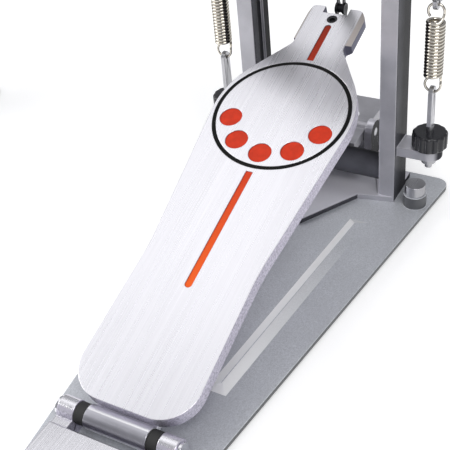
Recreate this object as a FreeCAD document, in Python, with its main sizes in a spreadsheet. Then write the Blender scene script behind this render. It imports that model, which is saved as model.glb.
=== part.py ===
import FreeCAD, Part
import math
import os
import re
from dataclasses import dataclass

import Sketcher
from FreeCAD import Placement, Rotation, Vector

# Double bass drum pedal: a main pedal that clamps to the drum's hoop and carries both beaters,
# a second pedal to its left, and a telescopic drive shaft between them.
# Millimetres and degrees. X runs to the player's right, Y towards the drum and Z up.
# The origin lies on the floor, straight below the middle of the main pedal's axle.

SIZES = {
    # Layout and clearances
    "slave_spacing": 420.0,
    "running_gap": 0.05,
    "moving_gap": 0.3,
    "overrun": 2.0,
    # Base plate on its rubber sheet
    "mat_thickness": 2.0,
    "mat_inset": 4.0,
    "plate_thickness": 3.0,
    "base_rear_width": 84.0,
    "base_front_width": 172.0,
    "base_front_reach": 28.0,
    "base_corner_radius": 9.0,
    "rib_width": 13.0,
    "rib_height": 2.4,
    "rib_side_run": 6.2,
    "rib_rear_offset": 28.8,
    "rib_front_offset": 42.8,
    "rib_rear_back": 220.7,
    "rib_front_back": 41.3,
    # Heel plate and hinge
    "hinge_height": 16.3,
    "heel_length": 62.0,
    "heel_margin": 5.0,
    "heel_width": 76.0,
    "heel_height": 12.0,
    "heel_wall": 4.0,
    "heel_corner_rounding": 10.0,
    "knuckle_radius": 6.8,
    "knuckle_length": 11.0,
    "hinge_pin_radius": 4.0,
    "pin_head_radius": 5.5,
    "pin_head_length": 2.0,
    "bush_radius": 5.4,
    "bush_length": 11.0,
    "bush_collar_radius": 6.4,
    "bush_collar_length": 6.5,
    "barrel_width": 40.0,
    "barrel_radius": 7.0,
    "barrel_clearance": 5.4,
    "tongue_length": 26.0,
    "tongue_thickness": 4.0,
    # Footboard, measured along its length from the hinge
    "board_angle": 18.555,
    "board_top_offset": 9.5,
    "board_thickness": 9.2,
    "board_heel_gap": 0.6,
    "board_heel_width": 77.4,
    "board_heel_radius": 22.0,
    "board_waist_reach": 106.0,
    "board_waist_width": 73.2,
    "board_waist_radius": 160.0,
    "board_wide_reach": 236.6,
    "board_wide_width": 98.6,
    "board_wide_radius": 62.0,
    "neck_reach": 282.0,
    "neck_width": 36.0,
    "neck_radius": 8.0,
    "toe_pin_reach": 319.4,
    "toe_pin_depth": 15.9,
    "toe_lip": 0.2,
    "toe_block_length": 33.6,
    "toe_block_width": 42.0,
    "toe_block_chamfer": 3.0,
    "toe_block_taper": 2.8,
    "toe_ear_radius": 7.0,
    "notch_width": 18.0,
    "notch_back": 5.8,
    # Ornament let into the footboard
    "ring_back": 15.85,
    "ring_radius": 44.0,
    "ring_line": 2.6,
    "ring_depth": 0.8,
    "dot_radius": 7.5,
    "dot_circle_radius": 32.9,
    "dot_step": 36.0,
    "dot_count": 5,
    "inlay_pocket": 1.2,
    "inlay_thickness": 0.7,
    "stripe_width": 4.6,
    "long_stripe_start": 86.0,
    "long_stripe_end": 172.5,
    "short_stripe_start": 268.6,
    "short_stripe_end": 302.4,
    # Roller chain and its anchor under the toe
    "chain_pitch": 12.7,
    "drop_links": 6,
    "wrap_links": 6,
    "roller_radius": 3.0,
    "chain_pin_radius": 1.6,
    "chain_pin_stub": 0.1,
    "link_radius": 4.0,
    "link_waist": 4.0,
    "link_plate": 0.8,
    "link_inner_width": 3.4,
    "link_gap": 0.15,
    "anchor_screw_back": 11.4,
    "anchor_screw_radius": 2.5,
    "anchor_head_radius": 3.6,
    "anchor_head_height": 2.6,
    "anchor_head_sink": 0.5,
    "anchor_socket_radius": 2.2,
    "anchor_socket_depth": 1.6,
    "anchor_plate": 2.0,
    "anchor_width": 16.0,
    "anchor_length": 24.0,
    "anchor_eye_wall": 1.9,
    "anchor_eye_play": 1.9,
    # Sprocket and axles
    "sprocket_teeth": 16,
    "sprocket_thickness": 2.6,
    "seat_play": 0.1,
    "tooth_height": 1.8,
    "rim_depth": 4.8,
    "tooth_floor": 1.0,
    "sprocket_hub_radius": 11.0,
    "sprocket_hub_length": 18.0,
    "sprocket_window_radius": 5.0,
    "sprocket_window_circle": 19.5,
    "sprocket_window_count": 6,
    "axle_radius": 6.0,
    "axle_overhang": 3.0,
    "axle_break": 18.0,
    "journal_radius": 3.0,
    "journal_length": 17.0,
    # Frame
    "post_gap": 91.0,
    "post_thickness": 11.5,
    "post_depth": 24.0,
    "post_groove_width": 9.0,
    "post_groove_depth": 2.2,
    "post_groove_margin": 6.0,
    "boss_radius": 17.0,
    "boss_overhang": 2.0,
    "bearing_radius": 11.0,
    "bearing_width": 9.0,
    "bridge_radius": 9.5,
    "bridge_height": 25.0,
    "foot_thickness": 4.0,
    "foot_tip_width": 12.4,
    "foot_tip_back": 60.7,
    "foot_shoulder_width": 64.4,
    "foot_shoulder_back": 17.2,
    "foot_front": 22.0,
    "ear_bottom": 42.0,
    "ear_thickness": 7.0,
    "ear_depth": 18.0,
    # Bolts of the frame and the pointed floor spurs
    "bolt_radius": 3.0,
    "bolt_head_radius": 5.0,
    "bolt_head_height": 3.0,
    "bolt_offset": 34.0,
    "bolt_front": 16.0,
    "spur_offset": 71.0,
    "spur_back": 8.0,
    "spur_radius": 4.0,
    "spur_boss_radius": 8.0,
    "spur_boss_height": 9.0,
    "spur_point": 6.0,
    "spur_lift": 1.0,
    "spur_head_radius": 7.0,
    "spur_head_height": 8.0,
    # Return springs, their hooks and rockers
    "spring_offset": 77.0,
    "wire_radius": 1.0,
    "coil_radius": 5.2,
    "coil_turns": 17,
    "loop_radius": 4.4,
    "loop_rise": 1.0,
    "hook_hole_height": 91.0,
    "hook_hole_radius": 1.5,
    "hook_plate": 3.0,
    "hook_width": 8.0,
    "hook_neck_height": 66.0,
    "hook_rod_radius": 2.5,
    "knob_radius": 12.0,
    "knob_height": 12.0,
    "nut_radius": 5.0,
    "nut_height": 5.0,
    "rod_tail": 4.0,
    "rocker_arm": 28.0,
    "rocker_thickness": 7.0,
    "rocker_hub_radius": 11.0,
    "rocker_end_radius": 5.5,
    "rocker_inset": 5.0,
    "rocker_pin_radius": 2.5,
    "rocker_pin_flange": 6.0,
    "rocker_flange_length": 1.6,
    "stirrup_play": 2.0,
    "stirrup_wall": 2.4,
    "stirrup_thickness": 3.0,
    "stirrup_drop": 8.0,
    # Beaters
    "beater_offset": 27.0,
    "beater_hub_width": 14.0,
    "beater_hub_radius": 13.0,
    "beater_neck_depth": 18.0,
    "beater_neck_height": 34.0,
    "beater_tilt": 38.0,
    "beater_rod_radius": 4.0,
    "beater_rod_start": 9.0,
    "beater_rod_length": 205.0,
    "beater_head_radius": 25.0,
    "beater_head_length": 46.0,
    "beater_head_rounding": 7.0,
    "beater_head_sink": 18.0,
    "key_screw_height": 25.0,
    "key_screw_radius": 2.5,
    "key_head_side": 6.0,
    "key_head_length": 8.0,
    # Hoop clamp at the drum end
    "clamp_width": 48.0,
    "clamp_reach": 84.0,
    "jaw_width": 34.0,
    "jaw_thickness": 8.0,
    "jaw_back": 13.0,
    "jaw_front": 80.0,
    "jaw_pivot_reach": 40.0,
    "jaw_pivot_height": 26.0,
    "jaw_boss_radius": 7.0,
    "jaw_pin_radius": 3.0,
    "lug_thickness": 6.0,
    "lug_depth": 18.0,
    "pad_length": 22.0,
    "pad_thickness": 4.0,
    "wing_bolt_reach": 20.0,
    "wing_bolt_radius": 4.0,
    "wing_height": 46.0,
    "wing_span": 36.0,
    "wing_thickness": 5.0,
    "wing_blade_height": 12.0,
    "wing_hub_radius": 6.5,
    # Drive shaft with two universal joints
    "main_joint_offset": 117.0,
    "slave_joint_offset": 88.0,
    "yoke_radius": 11.0,
    "yoke_reach": 13.0,
    "yoke_base": 12.0,
    "yoke_tip": 7.0,
    "yoke_slot": 12.0,
    "yoke_arm_width": 11.0,
    "trunnion_radius": 3.0,
    "cross_side": 11.4,
    "tube_radius": 9.0,
    "collar_radius": 13.0,
    "collar_length": 14.0,
    "shaft_rod_radius": 6.5,
    "shaft_bare_length": 53.0,
    "shaft_end_room": 38.0,
}

# Lengths that follow from the sizes above
WORKED_OUT = {
    "base_top": "mat_thickness + plate_thickness",
    "rib_slope": "atan(rib_side_run / rib_height)",
    "pitch_radius": "chain_pitch / (2 * sin(180 / sprocket_teeth))",
    "toe_pin_rise": "board_top_offset - toe_pin_depth",
    "hinge_y": "pitch_radius - toe_pin_reach * cos(board_angle) + toe_pin_rise * sin(board_angle)",
    "toe_pin_height": "hinge_height + toe_pin_reach * sin(board_angle) + toe_pin_rise * cos(board_angle)",
    "axle_height": "toe_pin_height + drop_links * chain_pitch",
    "base_rear": "hinge_y - heel_length - heel_margin",
    "heel_front": "hinge_y - barrel_radius - barrel_clearance",
    "board_heel_reach": "barrel_radius + board_heel_gap",
    "bush_end": "barrel_width / 2 + bush_collar_length",
    "board_underside": "board_top_offset - board_thickness",
    "toe_end": "toe_pin_reach + toe_lip",
    "ring_reach": "board_wide_reach - ring_back",
    "toe_block_reach": "toe_end - toe_block_length",
    "anchor_screw_reach": "toe_pin_reach - anchor_screw_back",
    "post_inner": "post_gap / 2",
    "post_outer": "post_gap / 2 + post_thickness",
    "boss_inner": "post_gap / 2 - boss_overhang",
    "boss_outer": "post_gap / 2 + post_thickness + boss_overhang",
    "bearing_inner": "post_gap / 2 + (post_thickness - bearing_width) / 2",
    "foot_top": "mat_thickness + plate_thickness + foot_thickness",
    "ear_top": "ear_bottom + ear_thickness",
    "rocker_inner": "spring_offset - rocker_inset - rocker_thickness",
    "rocker_outer": "spring_offset - rocker_inset",
    "rocker_pin_end": "spring_offset + stirrup_thickness / 2 + moving_gap + rocker_flange_length",
    "stirrup_ring_bore": "rocker_pin_radius + stirrup_play",
    "stirrup_eye": "rocker_arm + stirrup_drop",
    "jaw_underside": "jaw_pivot_height - jaw_thickness / 2",
    "jaw_top": "jaw_pivot_height + jaw_thickness / 2",
    "beater_head_centre": "beater_rod_start + beater_rod_length - beater_head_sink + beater_head_radius",
    "anchor_eye_radius": "chain_pin_radius + anchor_eye_play + anchor_eye_wall",
    "outer_plate_start": "link_inner_width / 2 + link_plate + link_gap",
    "outer_plate_end": "link_inner_width / 2 + 2 * link_plate + link_gap",
    "shaft_run": "slave_spacing - main_joint_offset - slave_joint_offset - 2 * (yoke_reach + yoke_base)",
    "tube_length": "shaft_run - shaft_bare_length",
    "shaft_overlap": "tube_length - shaft_end_room",
}

WORD = re.compile(r"[a-z_]+")
X_AXIS = Vector(1, 0, 0)
Y_AXIS = Vector(0, 1, 0)
Z_AXIS = Vector(0, 0, 1)
RIGHT, LEFT = 1, -1
QUARTER = 90

doc = FreeCAD.newDocument("double_pedal")
sheet = doc.addObject("Spreadsheet::Sheet", "dims")
for row, (name, value) in enumerate(SIZES.items(), start=1):
    sheet.set(f"A{row}", name)
    sheet.set(f"B{row}", str(value))
    sheet.setAlias(f"B{row}", name)
doc.recompute()
nodes = []


def formula(text):
    """Write out the worked-out lengths and point every size at its cell."""
    def written_out(found):
        word = found[0]
        return f"({WORKED_OUT[word]})" if word in WORKED_OUT else word

    while any(word in WORKED_OUT for word in WORD.findall(text)):
        text = WORD.sub(written_out, text)
    return WORD.sub(lambda found: f"dims.{found[0]}" if found[0] in SIZES else found[0], text)


def size(text):
    """The present value of a formula, for shapes that are made point by point."""
    return float(sheet.evalExpression(formula(text)))


def count(name):
    """A whole number from the sheet."""
    return round(size(name))


def bind(thing, sizes):
    """Tie properties of an object to formulas of the sheet."""
    for path, text in sizes.items():
        thing.setExpression(path, formula(text))


def place(thing, x="0", y="0", z="0", turn=None):
    """Put an object at bound coordinates, turned about one axis by a bound angle."""
    if turn:
        axis, angle = turn
        thing.Placement = Placement(Vector(), Rotation(axis, QUARTER))
        bind(thing, {"Placement.Rotation.Angle": angle})
    bind(thing, {"Placement.Base.x": x, "Placement.Base.y": y, "Placement.Base.z": z})
    return thing


def node(label, thing, **where):
    """Register a finished sub-part under its label, at its place."""
    thing.Label = label
    nodes.append(place(thing, **where))
    return thing


def mirrored(side, low, high):
    """A span on the right-hand side, or its mirror image on the left."""
    return (low, high) if side == RIGHT else (f"-({high})", f"-({low})")


def box(x, y, z):
    """A block between bound limits along each axis."""
    block = doc.addObject("Part::Box", "box")
    for path, (low, high) in zip(("Length", "Width", "Height"), (x, y, z)):
        bind(block, {path: f"({high}) - ({low})"})
    return place(block, x[0], y[0], z[0])


def round_bar(axis, radius, span, across=("0", "0")):
    """A cylinder along an axis, with its centre line at the other two coordinates."""
    bar = doc.addObject("Part::Cylinder", "bar")
    low, high = span
    bind(bar, {"Radius": radius, "Height": f"({high}) - ({low})"})
    first, second = across
    if axis == "x":
        bar.Placement = Placement(Vector(), Rotation(Y_AXIS, QUARTER))
        return place(bar, low, first, second)
    if axis == "y":
        bar.Placement = Placement(Vector(), Rotation(X_AXIS, -QUARTER))
        return place(bar, first, low, second)
    return place(bar, first, second, low)


def fuse(*things):
    """One solid made of several."""
    joined = doc.addObject("Part::MultiFuse", "fuse")
    joined.Shapes = list(things)
    joined.Refine = True
    return joined


def cut(base, *tools):
    """A solid with the tools taken out of it."""
    rest = doc.addObject("Part::Cut", "cut")
    rest.Base = base
    rest.Tool = tools[0] if len(tools) == 1 else fuse(*tools)
    rest.Refine = True
    return rest


def group(*things):
    """Several separate solids under one name."""
    held = doc.addObject("Part::Compound", "group")
    held.Links = list(things)
    return held


def made(shape):
    """A sub-part whose shape is worked out point by point."""
    feature = doc.addObject("Part::Feature", "made")
    feature.Shape = shape
    return feature


def rounded(base, radius, centres, kind="Part::Fillet"):
    """Round or bevel the edges whose middle lies nearest to the given points."""
    doc.recompute()
    fillet = doc.addObject(kind, "rounded")
    fillet.Base = base
    spots = [Vector(*(size(text) for text in centre)) for centre in centres]
    edges = base.Shape.Edges
    chosen = {min(range(len(edges)), key=lambda k: (edges[k].CenterOfMass - spot).Length) for spot in spots}
    fillet.Edges = [(k + 1, size(radius), size(radius)) for k in sorted(chosen)]
    return fillet


def new_body():
    """An empty body for a padded piece."""
    return doc.addObject("PartDesign::Body", "body")


def outline_pad(body, points, low, height, slope=None):
    """Pad a polygon, given by bound corners, upwards from a bound level."""
    plane = next(part for part in body.Origin.OriginFeatures if part.Role == "XY_Plane")
    sketch = body.newObject("Sketcher::SketchObject", "outline")
    sketch.AttachmentSupport = (plane, [""])
    sketch.MapMode = "FlatFace"
    bind(sketch, {"AttachmentOffset.Base.z": low})
    corners = [Vector(size(x), size(y), 0) for x, y in points]
    for start, end in zip(corners, corners[1:] + corners[:1]):
        sketch.addGeometry(Part.LineSegment(start, end))
    for index in range(len(points)):
        sketch.addConstraint(Sketcher.Constraint("Coincident", index, 2, (index + 1) % len(points), 1))
    for index, corner in enumerate(points):
        for kind, text in zip(("DistanceX", "DistanceY"), corner):
            tie = sketch.addConstraint(Sketcher.Constraint(kind, -1, 1, index, 1, size(text)))
            bind(sketch, {f"Constraints[{tie}]": text})
    pad = body.newObject("PartDesign::Pad", "pad")
    pad.Profile = sketch
    bind(pad, {"Length": height})
    if slope:
        bind(pad, {"TaperAngle": slope})
    doc.recompute()
    return pad


def round_corners(body, radius, corners):
    """Round the upright edges of a body that stand at the given corners."""
    base = body.Tip
    names = []
    for x, y in corners:
        spot = Vector(size(x), size(y), 0)
        upright = [
            (Vector(edge.CenterOfMass.x, edge.CenterOfMass.y, 0).distanceToPoint(spot), index)
            for index, edge in enumerate(base.Shape.Edges, start=1)
            if edge.BoundBox.XLength + edge.BoundBox.YLength < edge.BoundBox.ZLength
        ]
        names.append(f"Edge{min(upright)[1]}")
    fillet = body.newObject("PartDesign::Fillet", "round")
    fillet.Base = (base, names)
    bind(fillet, {"Radius": radius})
    doc.recompute()
    return fillet


def both_sides(points):
    """Close a right-hand outline, listed from the rear to the front, with its mirror image."""
    return list(points) + [(f"-({x})", y) for x, y in reversed(points)]


@dataclass(frozen=True)
class Pedal:
    """One of the two pedals: its name, its place across and whether it holds the hoop."""

    name: str
    x: str
    main: bool

    def label(self, piece):
        """The node name of a piece of this pedal."""
        return f"{self.name}_{piece}"


PEDALS = (Pedal("main", "0", True), Pedal("slave", "-slave_spacing", False))


def base_outline(pedal, inset):
    """Corners of the base, drawn in by a margin, with the clamp's lower jaw on the main pedal."""
    points = [
        (f"base_rear_width / 2 - ({inset})", f"base_rear + ({inset})"),
        (f"base_front_width / 2 - ({inset})", f"base_front_reach - ({inset})"),
    ]
    if pedal.main:
        points += [
            (f"clamp_width / 2 - ({inset})", f"base_front_reach - ({inset})"),
            (f"clamp_width / 2 - ({inset})", f"clamp_reach - ({inset})"),
        ]
    return both_sides(points)


def make_base(pedal):
    """Rubber sheet, ribbed base plate with its spur bosses, bolts and spurs."""
    mat = new_body()
    outline_pad(mat, base_outline(pedal, "mat_inset"), "0", "mat_thickness")
    plate = new_body()
    corners = base_outline(pedal, "0")
    outline_pad(plate, corners, "mat_thickness", "plate_thickness")
    round_corners(plate, "base_corner_radius", [corners[0], corners[1], corners[-2], corners[-1]])
    for side in (RIGHT, LEFT):
        rib = [
            (f"{side} * (rib_rear_offset - rib_width / 2)", "-rib_rear_back"),
            (f"{side} * (rib_rear_offset + rib_width / 2)", "-rib_rear_back"),
            (f"{side} * (rib_front_offset + rib_width / 2)", "-rib_front_back"),
            (f"{side} * (rib_front_offset - rib_width / 2)", "-rib_front_back"),
        ]
        outline_pad(plate, rib if side == RIGHT else rib[::-1], "base_top", "rib_height", "-rib_slope")
    sides = (RIGHT, LEFT)
    spots = [(f"{side} * spur_offset", "-spur_back") for side in sides]
    raised = ("mat_thickness", "base_top + spur_boss_height")
    past_boss = ("-overrun", "base_top + spur_boss_height + overrun")
    past_mat = ("-overrun", "mat_thickness + overrun")
    past_plate = ("-overrun", "base_top + overrun")
    bosses = [round_bar("z", "spur_boss_radius", raised, spot) for spot in spots]
    bores = [round_bar("z", "spur_radius", past_boss, spot) for spot in spots]
    wells = [round_bar("z", "spur_boss_radius", past_mat, spot) for spot in spots]
    bolt_spots = [(f"{side} * bolt_offset", "bolt_front") for side in sides]
    bores += [round_bar("z", "bolt_radius", past_plate, spot) for spot in bolt_spots]
    node(pedal.label("grip_mat"), cut(mat, *wells), x=pedal.x)
    node(pedal.label("base_plate"), cut(fuse(plate, *bosses), *bores), x=pedal.x)
    spurs = [make_spur(spot) for spot in spots]
    bolts = [make_bolt(*spot) for spot in bolt_spots]
    node(pedal.label("fasteners"), group(*spurs, *bolts), x=pedal.x)


def make_spur(spot):
    """A pointed floor spur, screwed down through its boss, with a round head."""
    x, y = spot
    tip = doc.addObject("Part::Cone", "tip")
    bind(tip, {"Radius1": "running_gap", "Radius2": "spur_radius", "Height": "spur_point"})
    place(tip, x, y, "spur_lift")
    head_low = "base_top + spur_boss_height"
    length = ("spur_lift + spur_point", f"{head_low} + spur_head_height / 2")
    stem = round_bar("z", "spur_radius", length, spot)
    head = round_bar("z", "spur_head_radius", (head_low, f"{head_low} + spur_head_height"), spot)
    return fuse(tip, stem, head)


def make_bolt(x, y):
    """A round-headed bolt that holds the frame's foot to the base plate."""
    shank = round_bar("z", "bolt_radius", ("mat_thickness", "foot_top + bolt_head_height / 2"), (x, y))
    head = round_bar("z", "bolt_head_radius", ("foot_top", "foot_top + bolt_head_height"), (x, y))
    return fuse(shank, head)


def make_heel(pedal):
    """Hollow heel plate with two hinge knuckles, and the pin that they hold."""
    heel = new_body()
    outline = both_sides([
        ("heel_width / 2", "hinge_y - heel_length"),
        ("heel_width / 2", "heel_front"),
    ])
    outline_pad(heel, outline, "base_top", "heel_height")
    round_corners(heel, "heel_corner_rounding", [outline[0], outline[3]])
    hollow = box(
        ("-heel_width / 2 + 2 * heel_wall", "heel_width / 2 - 2 * heel_wall"),
        ("hinge_y - heel_length + 2 * heel_wall", "heel_front - 2 * heel_wall"),
        ("base_top - overrun", "base_top + heel_height - heel_wall"),
    )
    knuckle_start = "bush_end + moving_gap"
    knuckle_end = "bush_end + moving_gap + knuckle_length"
    axis = ("hinge_y", "hinge_height")
    solids = [cut(heel, hollow)]
    for side in (RIGHT, LEFT):
        across = mirrored(side, knuckle_start, knuckle_end)
        solids.append(round_bar("x", "knuckle_radius", across, axis))
        solids.append(box(across, ("heel_front - heel_wall", "hinge_y"), ("base_top", "hinge_height")))
    past = (f"-({knuckle_end}) - overrun", f"{knuckle_end} + overrun")
    bore = round_bar("x", "hinge_pin_radius", past, axis)
    node(pedal.label("heel_plate"), cut(fuse(*solids), bore), x=pedal.x)
    pin = [round_bar("x", "hinge_pin_radius", (f"-({knuckle_end})", knuckle_end), axis)]
    for side in (RIGHT, LEFT):
        across = mirrored(side, knuckle_end, f"{knuckle_end} + pin_head_length")
        pin.append(round_bar("x", "pin_head_radius", across, axis))
    node(pedal.label("hinge_pin"), fuse(*pin), x=pedal.x)


def ring_line(low, high):
    """The flat ring round the ball of the foot, between two levels."""
    centre = ("0", "ring_reach")
    past = (f"({low}) - overrun", f"({high}) + overrun")
    outer = round_bar("z", "ring_radius + ring_line / 2", (low, high), centre)
    inner = round_bar("z", "ring_radius - ring_line / 2", past, centre)
    return cut(outer, inner)


def coloured_marks(low, high):
    """Five dots inside the ring and a stripe on each side of it, round at its far end, between two levels."""
    marks = []
    for step in range(count("dot_count")):
        bearing = f"-90 + ({step} - (dot_count - 1) / 2) * dot_step"
        centre = (f"dot_circle_radius * cos({bearing})", f"ring_reach + dot_circle_radius * sin({bearing})")
        marks.append(round_bar("z", "dot_radius", (low, high), centre))
    across = ("-stripe_width / 2", "stripe_width / 2")
    near, far = "long_stripe_start + stripe_width / 2", "short_stripe_end - stripe_width / 2"
    for tip, run in ((near, (near, "long_stripe_end")), (far, ("short_stripe_start", far))):
        rounding = round_bar("z", "stripe_width / 2", (low, high), ("0", tip))
        marks.append(fuse(box(across, run, (low, high)), rounding))
    return marks


def on_board(pedal):
    """Where a piece that was drawn from the hinge along a level footboard belongs."""
    return {"x": pedal.x, "y": "hinge_y", "z": "hinge_height", "turn": (X_AXIS, "board_angle")}


def make_footboard(pedal):
    """Footboard with its wide toe, the ornament let into it, the hinge barrel and its bushes."""
    body = new_body()
    right = [
        ("board_heel_width / 2", "board_heel_reach"),
        ("board_waist_width / 2", "board_waist_reach"),
        ("board_wide_width / 2", "board_wide_reach"),
        ("neck_width / 2", "neck_reach"),
        ("neck_width / 2", "toe_end"),
    ]
    left = [(f"-({x})", y) for x, y in right]
    outline_pad(body, both_sides(right), "board_underside", "board_thickness")
    radii = ("board_heel_radius", "board_waist_radius", "board_wide_radius", "neck_radius")
    for radius, *corners in zip(radii, right, left):
        round_corners(body, radius, corners)
    block = box(
        ("-toe_block_width / 2", "toe_block_width / 2"),
        ("toe_block_reach", "toe_end"),
        ("board_underside", "board_top_offset"),
    )
    ends = [
        (f"{side} * toe_block_width / 2", "toe_block_reach", "(board_underside + board_top_offset) / 2")
        for side in (RIGHT, LEFT)
    ]
    tapered = rounded(block, "toe_block_taper", ends, "Part::Chamfer")
    middle = "(toe_block_reach + toe_block_taper + toe_end) / 2"
    ridges = [(f"{side} * toe_block_width / 2", middle, "board_top_offset") for side in (RIGHT, LEFT)]
    bevel = rounded(tapered, "toe_block_chamfer", ridges, "Part::Chamfer")
    notch = box(
        ("-notch_width / 2", "notch_width / 2"),
        ("toe_pin_reach - notch_back", "toe_end + overrun"),
        ("board_underside - overrun", "board_top_offset + overrun"),
    )
    above = "board_top_offset + overrun"
    spot = ("0", "anchor_screw_reach")
    through = ("board_underside - overrun", above)
    screw = round_bar("z", "anchor_screw_radius", through, spot)
    sink = round_bar("z", "anchor_head_radius", ("board_top_offset - anchor_head_height", above), spot)
    groove = ring_line("board_top_offset - ring_depth", above)
    pockets = coloured_marks("board_top_offset - inlay_pocket", above)
    board = cut(fuse(body, bevel), notch, *ear_corners(), screw, sink, groove, *pockets)
    node(pedal.label("footboard"), board, **on_board(pedal))
    ring = ring_line("board_top_offset - ring_depth", "board_top_offset")
    node(pedal.label("ring_inlay"), ring, **on_board(pedal))
    floor = "board_top_offset - inlay_pocket"
    marks = coloured_marks(floor, f"{floor} + inlay_thickness")
    node(pedal.label("orange_inlays"), group(*marks), **on_board(pedal))
    make_barrel(pedal)


def ear_corners():
    """What is taken off the outer front corners of the toe to round its two ears."""
    deep = "board_underside - overrun"
    high = "board_top_offset + overrun"
    corners = []
    for side in (RIGHT, LEFT):
        centre = (f"{side} * (toe_block_width / 2 - toe_ear_radius)", "toe_end - toe_ear_radius")
        across = mirrored(side, "toe_block_width / 2 - toe_ear_radius", "toe_block_width / 2 + overrun")
        square = box(across, ("toe_end - toe_ear_radius", "toe_end + overrun"), (deep, high))
        past = (f"{deep} - overrun", f"{high} + overrun")
        corners.append(cut(square, round_bar("z", "toe_ear_radius", past, centre)))
    return corners


def make_barrel(pedal):
    """Hinge barrel with a tongue under the footboard, and the two collared bushes that run on the pin."""
    across = ("-barrel_width / 2", "barrel_width / 2")
    tube = round_bar("x", "barrel_radius", across)
    tongue = box(
        across,
        ("0", "board_heel_reach + tongue_length"),
        ("board_underside - tongue_thickness", "board_underside"),
    )
    past = ("-barrel_width / 2 - overrun", "barrel_width / 2 + overrun")
    seats = [
        round_bar("x", "bush_radius", mirrored(side, "barrel_width / 2 - bush_length", past[1]))
        for side in (RIGHT, LEFT)
    ]
    bore = round_bar("x", "hinge_pin_radius + moving_gap", past)
    node(pedal.label("hinge_barrel"), cut(fuse(tube, tongue), bore, *seats), **on_board(pedal))
    bushes = []
    past_bush = ("-bush_end - overrun", "bush_end + overrun")
    for side in (RIGHT, LEFT):
        sleeve = round_bar("x", "bush_radius", mirrored(side, "barrel_width / 2 - bush_length", "bush_end"))
        collar = round_bar("x", "bush_collar_radius", mirrored(side, "barrel_width / 2", "bush_end"))
        bushes.append(cut(fuse(sleeve, collar), round_bar("x", "hinge_pin_radius + running_gap", past_bush)))
    node(pedal.label("hinge_bushes"), group(*bushes), **on_board(pedal))


def make_anchor(pedal):
    """Bracket under the toe with the eye for the last link's pin, and the socket screw that holds it."""
    plate = box(
        ("-anchor_width / 2", "anchor_width / 2"),
        ("anchor_screw_reach - anchor_length / 2", "toe_pin_reach - notch_back"),
        ("board_underside - anchor_plate", "board_underside"),
    )
    half_eye = "link_inner_width / 2 - moving_gap"
    span = (f"-({half_eye})", half_eye)
    arm = box(
        span,
        ("toe_pin_reach - notch_back - anchor_plate", "toe_pin_reach"),
        ("toe_pin_rise", "board_underside"),
    )
    eye = round_bar("x", "anchor_eye_radius", span, ("toe_pin_reach", "toe_pin_rise"))
    past_eye = (f"-({half_eye}) - overrun", f"{half_eye} + overrun")
    bore = round_bar("x", "chain_pin_radius + anchor_eye_play", past_eye, ("toe_pin_reach", "toe_pin_rise"))
    spot = ("0", "anchor_screw_reach")
    past_plate = ("board_underside - anchor_plate - overrun", "board_underside + overrun")
    thread = round_bar("z", "anchor_screw_radius", past_plate, spot)
    bracket = cut(fuse(plate, arm, eye), bore, thread)
    seat = "board_top_offset - anchor_head_height"
    shank = round_bar("z", "anchor_screw_radius", ("board_underside - anchor_plate", seat), spot)
    top = "board_top_offset - anchor_head_sink"
    head = round_bar("z", "anchor_head_radius", (seat, top), spot)
    socket = doc.addObject("Part::Prism", "socket")
    bind(socket, {"Circumradius": "anchor_socket_radius", "Height": "anchor_socket_depth + overrun"})
    place(socket, *spot, f"{top} - anchor_socket_depth")
    node(pedal.label("chain_anchor"), group(bracket, cut(fuse(shank, head), socket)), **on_board(pedal))


def link_plates(inner, outer):
    """The two waisted side plates of a link, from its upper pin at the origin down one pitch."""
    radius, waist, pitch = size("link_radius"), size("link_waist / 2"), size("chain_pitch")
    hollow = (pitch * pitch / 4 + waist * waist - radius * radius) / (2 * (radius - waist))
    away = Vector(0, waist + hollow, -pitch / 2)
    side = away * (radius / away.Length)
    low, high = size(inner), size(outer)
    plates = []
    for start in (low, -high):
        near, far = Vector(start, -side.y, side.z), Vector(start, side.y, side.z)
        drop = Vector(0, 0, -pitch - 2 * side.z)
        edges = [
            Part.Arc(near, Vector(start, 0, radius), far).toShape(),
            Part.Arc(far, Vector(start, waist, -pitch / 2), far + drop).toShape(),
            Part.Arc(far + drop, Vector(start, 0, -pitch - radius), near + drop).toShape(),
            Part.Arc(near + drop, Vector(start, -waist, -pitch / 2), near).toShape(),
        ]
        plates.append(Part.Face(Part.Wire(edges)).extrude(Vector(high - low, 0, 0)))
    return plates


def bar_along_x(radius, half, low=0.0):
    """A cylinder centred on the origin's X axis, at a level."""
    return Part.makeCylinder(radius, 2 * half, Vector(-half, 0, low), X_AXIS)


def pin_link():
    """An outer link: two plates on two pins."""
    half = size("outer_plate_end + chain_pin_stub")
    plates = link_plates("outer_plate_start", "outer_plate_end")
    pins = [bar_along_x(size("chain_pin_radius"), half, low) for low in (0, -size("chain_pitch"))]
    return plates[0].fuse([plates[1], *pins]).removeSplitter()


def roller_link():
    """An inner link: two plates joined by two bored rollers."""
    inner = size("link_inner_width / 2")
    outer = size("link_inner_width / 2 + link_plate")
    plates = link_plates("link_inner_width / 2", "link_inner_width / 2 + link_plate")
    levels = (0, -size("chain_pitch"))
    rollers = [bar_along_x(size("roller_radius"), inner, low) for low in levels]
    bores = [bar_along_x(size("chain_pin_radius + running_gap"), 2 * outer, low) for low in levels]
    return plates[0].fuse([plates[1], *rollers]).cut(bores).removeSplitter()


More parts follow.
